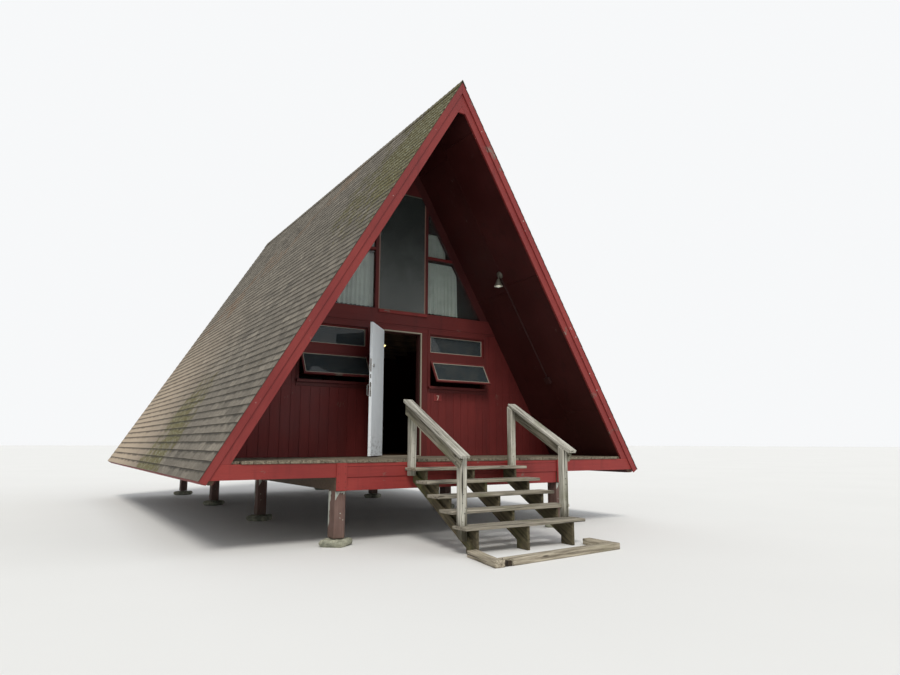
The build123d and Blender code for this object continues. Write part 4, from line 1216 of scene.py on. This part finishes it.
def front_walls():
    for hand, seed, ends in (("left", 61, (-WIDE, FRAMED[0])), ("right", 62, (FRAMED[1], WIDE))):
        wall = Shape(seed)
        siding(wall, *ends)
        wall.stand_for(f"front_wall_{hand}", "siding", "red_wall", WALL_RED_PAINTED_SHADE)
    band = Shape(63)
    header(band, 1)
    band.prism(rect(*FRAMED, DOOR_TOP + JAMB, HEADER_LOW), WALL, WALL_BACK)
    band.stand_for("front_header", "boards", "red_wall", HEADER_RED_PAINTED_SHADE, RED)
    gable_boards = Shape(64)
    gable(gable_boards)
    gable_boards.stand_for("gable_frame_front", "boards", "red_trim", RAIL_RED, GABLE_RED_PAINTED_SHADE,
                           MULLION_RED_PAINTED_SHADE)
    trims, fixed = Shape(65), Shape(66)
    for window in WINDOWS:
        trim_boards(trims, window)
        sash(fixed, window, window + WINDOW_WIDTH, *UPPER, *SASH_PLACE)
    trims.stand_for("window_trim", "boards", "red_trim", HEADER_RED_PAINTED_SHADE)
    fixed.stand_for("fixed_sashes", "wood", "sash", WALL_RED_PAINTED_SHADE, SASH_PALE)
    casing = Shape(67)
    left, right, face = *FRAMED, WALL - CASING_THICK
    for x in (left - CASING, right):
        casing.prism(rect(x, x + CASING, 0, DOOR_TOP + JAMB), face, WALL, ease=0.003)
    casing.prism(rect(left - CASING, right + CASING, DOOR_TOP + JAMB, HEADER_LOW), face + 0.001,
                 WALL, ease=0.003)
    casing.stand_for("door_casing", "boards", "red_trim", HEADER_RED_PAINTED_SHADE)


AWNING_ANGLE = radians(30)
AWNING_TOP = LOWER[1] - (0.0003 + TRIM_THICK * sin(AWNING_ANGLE)) / cos(AWNING_ANGLE)
AWNING_GAP = 0.005


def swung(pin, angle, axis):
    """A turn about an axis through a pin."""
    pin = Vector(pin)
    return Matrix.Translation(pin) @ Matrix.Rotation(angle, 4, axis) @ Matrix.Translation(-pin)


def awnings():
    """The lower sashes, swung out at the foot."""
    shape = Shape(68, swung((0, WALL, AWNING_TOP), -AWNING_ANGLE, "X"))
    for window in WINDOWS:
        sash(shape, window + AWNING_GAP, window + WINDOW_WIDTH - AWNING_GAP, LOWER[0] + AWNING_GAP,
             AWNING_TOP, WALL - 0.03, WALL)
    shape.stand_for("awning_sashes", "wood", "sash", SASH_RED, SASH_PALE)


def back_walls():
    wall, gable_boards, trims, sashes = (Shape(seed, TO_BACK) for seed in (71, 72, 73, 74))
    siding(wall, -WIDE, WIDE)
    header(wall, 0)
    wall.stand_for("back_wall", "siding", "red_wall", WALL_RED_PAINTED_SHADE)
    gable(gable_boards)
    gable_boards.stand_for("gable_frame_back", "boards", "red_trim", *[WALL_RED_PAINTED_SHADE] * 3)
    for window in WINDOWS:
        trim_boards(trims, window)
        for edges in (UPPER, LOWER):
            sash(sashes, window, window + WINDOW_WIDTH, *edges, *SASH_PLACE)
    trims.stand_for("back_window_trim", "boards", "red_trim", WALL_RED_PAINTED_SHADE)
    sashes.stand_for("back_sashes", "wood", "sash", WALL_RED_PAINTED_SHADE, SASH_PALE)


front_walls()
awnings()
back_walls()


# Insect screen in its frame

SCREEN_BAR = 0.02


def screen():
    shape = Shape(75)
    (left, right), bar, y = TALL, SCREEN_BAR, WALL + 0.012
    pane = under_slope(rect(left, right, HEADER_TOP, TALL_TOP), GABLE_TRIM)
    shape.prism(pane, y + 0.0025, y + 0.0035, ease=0.0002, index=1)
    for x in (left, right - bar):
        stile = under_slope(rect(x, x + bar, HEADER_TOP, TALL_TOP), GABLE_TRIM)
        shape.prism(stile, y, y + 0.006, run=UP, ease=0.001)
    for z in (HEADER_TOP, TALL_TOP - bar):
        rail = under_slope(rect(left + bar, right - bar, z, z + bar), GABLE_TRIM)
        shape.prism(rail, y, y + 0.006, ease=0.001, index=2)
    shape.stand_for("gable_screen", "frame", "screen", SCREEN_PALE, SCREEN, LAMP_METAL)


screen()


# Door leaf, drawn closed and then opened

LEAF_FACE = WALL - CASING_THICK + 0.003
LEAF = (-0.425, 0.325)
LEAF_HEIGHT = (0.018, DOOR_TOP - 0.005)
LEAF_THICK = 0.044
LEAF_SKIN = 0.002
LEAF_OPEN = radians(130)
LOCK_SLOTS = ((0.895, 0.985), (1.045, 1.115), (1.17, 1.235))


def door():
    """A slab with the red outer skin, and the dark slots of the locks in its free edge."""
    pin = (DOOR_LEFT + 0.0025, WALL - CASING_THICK - 0.008, 0)
    shape = Shape(81, swung(pin, -LEAF_OPEN, "Z"))
    outline, skin = rect(LEAF[0], LEAF[1] - 0.0004, *LEAF_HEIGHT), LEAF_FACE + LEAF_SKIN
    shape.prism(outline, skin, LEAF_FACE + LEAF_THICK, run=UP, ease=0.0015)
    shape.prism(outline, LEAF_FACE, skin + 0.0005, run=UP, ease=0.0008, index=1)
    middle = LEAF_FACE + LEAF_THICK / 2
    for edges in LOCK_SLOTS:
        shape.prism(rect(middle - 0.007, middle + 0.007, *edges), LEAF[1] - 0.004, LEAF[1],
                    axis="x", ease=0.0012, index=2)
    shape.stand_for("door_leaf", "slab", "door_paint", DOOR_PALE, DOOR_RED, NAIL_HOLE, body="door")


door()


# Stair

SLOPE = RISE / STEP
TREAD_DEPTH = 0.286
TREAD_NOSING = 0.028
TREAD_X = (-0.915, 0.921)
STRINGERS = (-0.752, -0.007, 0.714)
STRINGER_TOP = -FIRST_DROP - PLANK_THICK + (STEP - TREAD_NOSING) * SLOPE
STRINGER_LOW = STRINGER_TOP - 0.26 / cos(atan2(RISE, STEP))
STRINGER_TOE = -STEP * TREADS + TREAD_NOSING
FOOT_TOP = GROUND + 0.1
SIDE_BOARD = ((-NEWEL[0], -0.7525), (0.7525, NEWEL[0]))
SIDE_BOARD_TOE = -1.32
NEWEL_LIFT = 0.09
NEWEL_FRONT = {-1: -1.28, 1: -1.18}
CAP_END = {-1: -1.38, 1: -1.28}
CAP = (0.81, 0.95)
BOARD_END = {-1: -1.34, 1: -1.24}
BOARD_HEIGHT = 0.14
BOARD = (NEWEL[1], NEWEL[1] + PLANK_THICK)
DOWN_STAIR = (0, 1, SLOPE)
DOWN_RAIL = (0, 1, RAIL_FALL)


def cap_under(y):
    return CAP_TOP + RAIL_FALL * y - CAP_DROP


def both_ways(span, side):
    return sorted((side * span[0], side * span[1]))


def tread_outline(front):
    """A tread seen from above, notched round the posts that it meets."""
    back = front + TREAD_DEPTH
    near, far = [(TREAD_X[0], front)], [(TREAD_X[0], back)]
    for side in (-1, 1):
        inner, outer = both_ways((NEWEL[0] - 0.001, NEWEL[1] + 0.001), side)
        for post in (-POST, NEWEL_FRONT[side]):
            if post + POST <= front or post >= back:
                continue
            if post + POST / 2 > (front + back) / 2:
                deep = post - 0.001
                far += [(inner, back), (inner, deep), (outer, deep), (outer, back)]
            else:
                deep = post + POST + 0.001
                near += [(inner, front), (inner, deep), (outer, deep), (outer, front)]
    return near + [(TREAD_X[1], front), (TREAD_X[1], back)] + far[::-1]


def treads():
    shape = Shape(91)
    wobble = shape.random.uniform
    for number in range(1, TREADS + 1):
        top = -FIRST_DROP - RISE * (number - 1)
        front = -STEP * number
        shape.prism(tread_outline(front), top - PLANK_THICK, top, "z", (1, 0, 0), 0.006)
        for x in (-0.733, 0.012, 0.733):
            for y in (0.05, 0.14, 0.235):
                shape.nail((x + wobble(-0.01, 0.01), front + y, top - 0.0006), UP, 0.0045)
    shape.build("stair_tread_planks", [TREAD_WOOD, OLD_STEEL], "weathered_wood", ["stair_treads"])


def stringers():
    """Sawn planks under the treads, and a straight board outside each side one."""
    saw = []
    for number in range(1, TREADS + 1):
        seat = -FIRST_DROP - RISE * (number - 1) - PLANK_THICK
        saw.append((0 if number == 1 else -STEP * (number - 1) + TREAD_NOSING, seat))
        saw.append((-STEP * number + TREAD_NOSING, seat))
    heel = (FOOT_TOP - STRINGER_LOW) / SLOPE
    saw += [(STRINGER_TOE, GROUND), (heel, GROUND), (heel, FOOT_TOP), (0, STRINGER_LOW)]
    shape = Shape(97)
    for x in STRINGERS:
        shape.prism(saw, x, x + PLANK_THICK, "x", DOWN_STAIR, 0.003)
    shape.build("stringer_planks", [STRINGER_WOOD], "weathered_wood", ["stringers"])
    upper, toe = STRINGER_TOP - RISE, SIDE_BOARD_TOE
    board = [(0, upper), (toe, upper + SLOPE * toe), (toe, STRINGER_LOW + SLOPE * toe),
             (0, STRINGER_LOW)]
    sides = Shape(98)
    for ends in SIDE_BOARD:
        sides.prism(board, *ends, "x", DOWN_STAIR, 0.003, cuts=0.25, jitter=0.001)
    sides.build("stair_side_planks", [STRINGER_WOOD], "weathered_wood", ["stair_side_boards"])


def raked(shape, end, rise, thickness, ends):
    """A straight piece along the rail, its top rise above the cap's underside, cut square."""
    drop = thickness / cos(RAIL_ANGLE)
    heel = end + thickness * sin(RAIL_ANGLE)
    outline = [(0, cap_under(0) + rise), (end, cap_under(end) + rise),
               (heel, cap_under(heel) + rise - drop), (0, cap_under(0) + rise - drop)]
    shape.prism(outline, *ends, "x", DOWN_RAIL, 0.004, cuts=0.2, jitter=0.0015)


def rails():
    posts, caps, boards = Shape(92), Shape(93), Shape(94)
    for side in (-1, 1):
        front = NEWEL_FRONT[side]
        foot = STRINGER_LOW + NEWEL_LIFT
        for y, near, far in ((front, foot + SLOPE * front, foot + SLOPE * (front + POST)),
                             (-POST, RIM_LOW, RIM_LOW)):
            outline = [(y, near), (y + POST, far), (y + POST, cap_under(y + POST)),
                       (y, cap_under(y))]
            posts.prism(outline, *both_ways(NEWEL, side), "x", UP, 0.004, cuts=0.16, jitter=0.0015)
        raked(caps, CAP_END[side], CAP_DROP, PLANK_THICK, both_ways(CAP, side))
        raked(boards, BOARD_END[side], 0, BOARD_HEIGHT, both_ways(BOARD, side))
        bolt_newels(posts, boards, caps, side)
    for shape, node, *materials in ((posts, "rail_posts", POST_WOOD, NAIL_HOLE),
                                    (caps, "handrail_caps", GREY_WOOD, OLD_STEEL),
                                    (boards, "rail_boards", RAIL_WOOD, OLD_STEEL)):
        shape.stand_for(node, "wood", "weathered_wood", *materials)


def bolt_newels(posts, boards, caps, side):
    """Bolts through the rail boards, nails down the posts and along the caps."""
    for y in (NEWEL_FRONT[side] + POST / 2, -POST / 2):
        for drop in (0.035, 0.105):
            under = cap_under(y)
            boards.nail((side * BOARD[1], y, under - drop), (side, 0, 0), 0.009, 0.004)
            caps.nail((side * (0.815 + drop * 0.4), y, under + CAP_DROP), (0, -RAIL_FALL, 1))
    uniform = posts.random.uniform
    for i in range(9):
        x, z = side * (NEWEL[0] + uniform(0.018, 0.07)), -0.14 - i * 0.075 - uniform(0, 0.04)
        posts.nail((x, NEWEL_FRONT[side], z), TO_FRONT, uniform(0.004, 0.0075))
    for z in (0.02, 0.2, 0.38):
        posts.nail((side * (NEWEL[0] + 0.04), -POST, z), TO_FRONT, 0.005)


TIMBER_TOP = GROUND + 0.075
TIMBER = 0.14
TIMBER_ENDS = (-0.885, 1.0)
TIMBER_FRONT = -2.12
SKEW = 0.19 / 1.885
ROT = ((-0.775, 0.028), (-0.802, 0.04), (-0.812, 0.074), (-0.846, 0.07), (-0.862, 0.098),
       (-0.885, 0.09))


def timber_edge(x, deep=0.0):
    """A point of the long timber, seen from above, this far behind its front edge."""
    return (x, TIMBER_FRONT + SKEW * (x - TIMBER_ENDS[0]) + deep)


def timbers():
    """Two timbers and a short third that edge the landing at the foot of the stair."""
    front, sides = Shape(95), Shape(96)
    left_end, right_end = TIMBER_ENDS
    rot = [timber_edge(*point) for point in ROT]
    notch = timber_edge(-0.77)
    outline = [notch, timber_edge(right_end), timber_edge(right_end, TIMBER),
               timber_edge(left_end, TIMBER)] + rot[::-1]
    front.prism(outline, GROUND, TIMBER_TOP, "z", (1, SKEW, 0), 0.006, cuts=0.13, jitter=0.004)
    crumbs = [timber_edge(*point) for point in ((-0.883, 0.03), (-0.835, 0.018), (-0.785, 0.012))]
    crumbs += [(x - 0.001, y + 0.004) for x, y in rot]
    front.prism(crumbs, GROUND, TIMBER_TOP - 0.022, "z", UP, 0.002, cuts=0.02, jitter=0.01, index=1)
    front.stand_for("landing_timber_front", "wood", "weathered_wood", TIMBER_WOOD, ROTTEN_WOOD)
    left = [(-1.02, TIMBER_FRONT), (-0.886, TIMBER_FRONT),
            (-0.886, timber_edge(left_end, TIMBER)[1]), (-0.745, STRINGER_TOE),
            (-0.885, STRINGER_TOE)]
    right = [(0.88, timber_edge(0.88, 0.141)[1]), (1.005, timber_edge(1.005, 0.141)[1]),
             (1.005, STRINGER_TOE), (0.88, STRINGER_TOE)]
    for outline, run in ((left, (0.19, 1, 0)), (right, (0, 1, 0))):
        sides.prism(outline, GROUND, TIMBER_TOP, "z", run, 0.008, cuts=0.13, jitter=0.005)
    sides.stand_for("landing_timbers_side", "wood", "weathered_wood", TIMBER_WOOD)


treads()
stringers()
rails()
timbers()


# Lamps and number plate. The profiles of the porch lamp are points of (radius, height).

LAMP_AT = (0.895, 3.037)
CANOPY = ((0, 0), (0.062, 0), (0.062, 0.01), (0.056, 0.024), (0.036, 0.036), (0.016, 0.042),
          (0, 0.042))
CANOPY_OUT = 0.04
STEM = 0.068
BELL = ((0, 0), (0.018, 0), (0.03, -0.004), (0.03, -0.026), (0.035, -0.028), (0.035, -0.05),
        (0.041, -0.053), (0.049, -0.074), (0.058, -0.093), (0.067, -0.111))
BELL_HEIGHT = 0.125
BULB_SHAPE = ((0, -0.02), (0.018, -0.017), (0.033, -0.004), (0.04, 0.018), (0.035, 0.042),
              (0.018, 0.066), (0.013, 0.085), (0, 0.085))


def lamp():
    """A canopy on the soffit, a short straight plumb stem and a bell shade with its bulb."""
    y, z = LAMP_AT
    x = roof_x(SOFFIT, z)
    shape = Shape(101)
    normal = Vector((-sin(PITCH), 0, -cos(PITCH)))
    canopy = Matrix.Translation((x, y, z)) @ normal.to_track_quat("Z", "X").to_matrix().to_4x4()
    shape.lathe(CANOPY, canopy)
    top = z - CANOPY_OUT * cos(PITCH) / 2
    shade_top = top - STEM
    rim = shade_top - BELL_HEIGHT
    hang = Matrix.Translation((x - CANOPY_OUT * sin(PITCH), y, 0))
    foot = shade_top - 0.002
    shape.lathe([(0, foot), (0.009, foot), (0.009, top), (0, top)], hang, 16)
    outer = [(radius, shade_top + drop) for radius, drop in BELL] + [(0.075, rim)]
    inner = [(radius - 0.0025, height - 0.001) for radius, height in outer[2:]]
    lip = (0.0735, rim - 0.0002)
    shape.lathe([lip] + outer[::-1], hang, 40)
    shape.lathe([(0, shade_top - 0.008)] + inner + [lip], hang, 40, index=1)
    shape.lathe([(radius, rim + up) for radius, up in BULB_SHAPE], hang, 32, index=2)
    shape.stand_for("porch_lamp", "fitting", "lamp", LAMP_METAL, LAMP_WHITE, BULB)


def ceiling_lamp():
    """A shallow glass bowl in a metal ring, screwed up under a joist inside."""
    low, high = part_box("ceiling_light")
    middle = (low + high) / 2
    radius, depth = (high.x - low.x) / 2, high.z - low.z
    place = Matrix.Translation((middle.x, middle.y - FRONT, low.z - DECK))
    ring = [(0, depth - 0.018), (radius - 0.006, depth - 0.018), (radius, depth - 0.014),
            (radius, depth), (0, depth)]
    bowl = [(0, 0), (radius * 0.36, depth * 0.05), (radius * 0.66, depth * 0.2),
            (radius - 0.018, depth * 0.45), (radius - 0.008, depth - 0.017), (0, depth - 0.017)]
    shape = Shape(103)
    shape.lathe(ring, place, 48)
    shape.lathe(bowl, place, 48, index=1)
    shape.stand_for("ceiling_light", "bowl", "lamp", STEEL, CEILING_GLASS)


DIGIT_MARGIN = 0.02
DIGIT_HALF = 0.024
STROKE = (0.012, 0.014)


def plate():
    """A small board with one painted numeral."""
    low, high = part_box("number_plate")
    x0, x1, z0, z1 = low.x, high.x, low.z - DECK, high.z - DECK
    y0, y1 = low.y - FRONT, high.y - FRONT
    shape = Shape(102)
    shape.prism(rect(x0, x1, z0, z1), y0, y1, ease=0.003)
    middle, top, foot = (x0 + x1) / 2, z1 - DIGIT_MARGIN, z0 + DIGIT_MARGIN
    left, right, under = middle - DIGIT_HALF, middle + DIGIT_HALF, top - STROKE[0]
    bar = [(left, top), (left, under), (right, under), (right, top)]
    leg = [(right, under), (right - STROKE[1], under), (middle - STROKE[1], foot), (middle, foot)]
    for stroke in (bar, leg):
        shape.prism(stroke, y0 - 0.0015, y0 + 0.001, ease=0.0004, index=1)
    for x in (x0 + 0.012, x1 - 0.012):
        shape.nail((x, y0, (z0 + z1) / 2), TO_FRONT, 0.0035, index=2)
    shape.stand_for("number_plate", "board", "plate", PLATE_PAINT, DIGIT_PAINT, OLD_STEEL)


lamp()
ceiling_lamp()
plate()


# Curtains, gathered on the inside of the gable windows

PLEATS = 9
CURTAIN_INNER = 0.462
CURTAIN_CORNER = 0.14
CURTAIN_GRID = (150, 60)


def curtain(name, side, low, high, outer, seed, replaces=()):
    """A cloth hung in soft pleats out to outer, a (foot, top) pair, or to the slope."""
    rnd = Random(seed)
    across, fine_down = CURTAIN_GRID
    phases = [rnd.uniform(0, 2 * pi) for _ in range(6)]
    box_low, box_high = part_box("curtains")
    y_mid = (box_low.y + box_high.y) / 2 - FRONT
    depth = (box_high.y - box_low.y) / 2 - 0.002
    foot, top = outer
    points, grain = [], []
    for j in range(fine_down + 1):
        fall = j / fine_down
        z = high + (low - high) * fall + 0.004 * sin(5 * fall + phases[0]) * fall
        rounding = max(0, 1 - (high - z) / CURTAIN_CORNER)
        corner = CURTAIN_CORNER * (1 - sqrt(max(0, 1 - rounding ** 2)))
        edge = min(foot + (top - foot) * (1 - fall) - corner, roof_x(SOFFIT + 0.03, z) - 0.006)
        for i in range(across + 1):
            u = i / across
            sway = 0.05 * sin(2.1 * pi * u + phases[1]) + 0.025 * sin(3 * fall + 7 * u + phases[2])
            wave = sin(2 * pi * PLEATS * (u + 0.02 * sway) + phases[3] + 1.2 * sway)
            second = sin(2 * pi * PLEATS * 2.3 * u + phases[4] + 2 * fall)
            size = 0.55 + 0.3 * fall + 0.15 * sin(3 * pi * u + phases[5])
            y = y_mid + depth * size * (0.82 * wave + 0.16 * second * fall)
            hem = 0.006 * sin(2 * pi * PLEATS * u + phases[3] + 1.4) * fall
            x = CURTAIN_INNER + (edge - CURTAIN_INNER) * u + 0.004 * second * sin(pi * u)
            points.append(Vector((side * x, y, z + hem)))
            grain.append((u * 1.1, fall * (high - low), 0))
    row = across + 1
    faces = [[a, a + 1, a + row + 1, a + row] if side < 0 else [a, a + row, a + row + 1, a + 1]
             for start in range(0, fine_down * row, row) for a in range(start, start + across)]
    shape = Shape(seed)
    shape.add(points, faces, grain, 0.5, smooth=True)
    piece = shape.build(name, [CLOTH], "curtain", replaces)
    piece.modifiers.new("thickness", "SOLIDIFY").thickness = 0.0008


for side, hand, seed in ((1, "right", 111), (-1, "left", 113)):
    curtain(f"curtain_{hand}_low", side, 2.445, 3.36, (1.155, 1.13), seed,
            ["curtains"] if side > 0 else [])
    curtain(f"curtain_{hand}_high", side, 3.445, 3.88, (0.89, 0.87), seed + 1)


# Stage, light and camera

FLOOR_HALF = 400
FLOOR_DROP = 0.001


def stage():
    mesh = bpy.data.meshes.new("floor")
    corners = rect(-FLOOR_HALF, FLOOR_HALF, -FLOOR_HALF, FLOOR_HALF)
    mesh.from_pydata([(x, y, -FLOOR_DROP) for x, y in corners], [], [(0, 1, 2, 3)])
    floor = bpy.data.objects.new("floor", mesh)
    bpy.context.scene.collection.objects.link(floor)
    f = Finish("floor_grey", Roughness=0.9)
    f.put("Base Color", f.mix(f.noise(f.place(), 0.3, 3), (226, 225, 222), (232, 231, 228)))
    mesh.materials.append(f.material)


def world_light():
    """A soft blue-white sky that the camera, reflections and glass see as a plain backdrop."""
    world = bpy.data.worlds.new("studio")
    bpy.context.scene.world = world
    world.use_nodes = True
    nodes, links = world.node_tree.nodes, world.node_tree.links
    nodes.clear()
    path = nodes.new("ShaderNodeLightPath")
    seen = path.outputs["Is Camera Ray"]
    for other in ("Is Glossy Ray", "Is Transmission Ray"):
        both = nodes.new("ShaderNodeMath")
        both.operation = "MAXIMUM"
        links.new(seen, both.inputs[0])
        links.new(path.outputs[other], both.inputs[1])
        seen = both.outputs[0]
    blend = nodes.new("ShaderNodeMixShader")
    links.new(seen, blend.inputs[0])
    for number, tint, strength in ((1, (0.92, 0.96, 1.0, 1), 0.62), (2, (0.93, 0.94, 0.95, 1), 1)):
        sky = nodes.new("ShaderNodeBackground")
        sky.inputs[0].default_value, sky.inputs[1].default_value = tint, strength
        links.new(sky.outputs[0], blend.inputs[number])
    links.new(blend.outputs[0], nodes.new("ShaderNodeOutputWorld").inputs[0])


def aimed(name, data, direction, roll=0.0):
    """A lamp or camera that points in a direction."""
    made = bpy.data.objects.new(name, data)
    made.rotation_mode = "QUATERNION"
    turn = Matrix.Rotation(roll, 3, "Z").to_quaternion()
    made.rotation_quaternion = direction.to_track_quat("-Z", "Y") @ turn
    bpy.context.scene.collection.objects.link(made)
    return made


def sun(name, azimuth, elevation, strength, softness, colour):
    """A soft far lamp. Azimuth 0 shines along +Y from the front, 90 from the left."""
    data = bpy.data.lights.new(name, "SUN")
    data.energy, data.angle, data.color = strength, radians(softness), colour
    a, e = radians(azimuth), radians(elevation)
    aimed(name, data, Vector((sin(a) * cos(e), cos(a) * cos(e), -sin(e))))


CAMERA_AT = (-5.118, -11.549, 1.2506)
CAMERA_TO = (0.53265, 0.83069, 0.16201)
CAMERA_ROLL = radians(0.109)
CAMERA_LENS = 25.905


def camera():
    data = bpy.data.cameras.new("camera")
    data.lens, data.clip_end = CAMERA_LENS, 1000
    data.sensor_width, data.sensor_fit = 36, "HORIZONTAL"
    eye = aimed("camera", data, Vector(CAMERA_TO), CAMERA_ROLL)
    eye.location = CAMERA_AT
    bpy.context.scene.camera = eye


stage()
world_light()
sun("key", 28, 48, 1.9, 18, (1.0, 0.97, 0.92))
sun("fill", -60, 30, 0.5, 60, (0.93, 0.96, 1.0))
camera()
bpy.context.scene.view_settings.view_transform = "Standard"
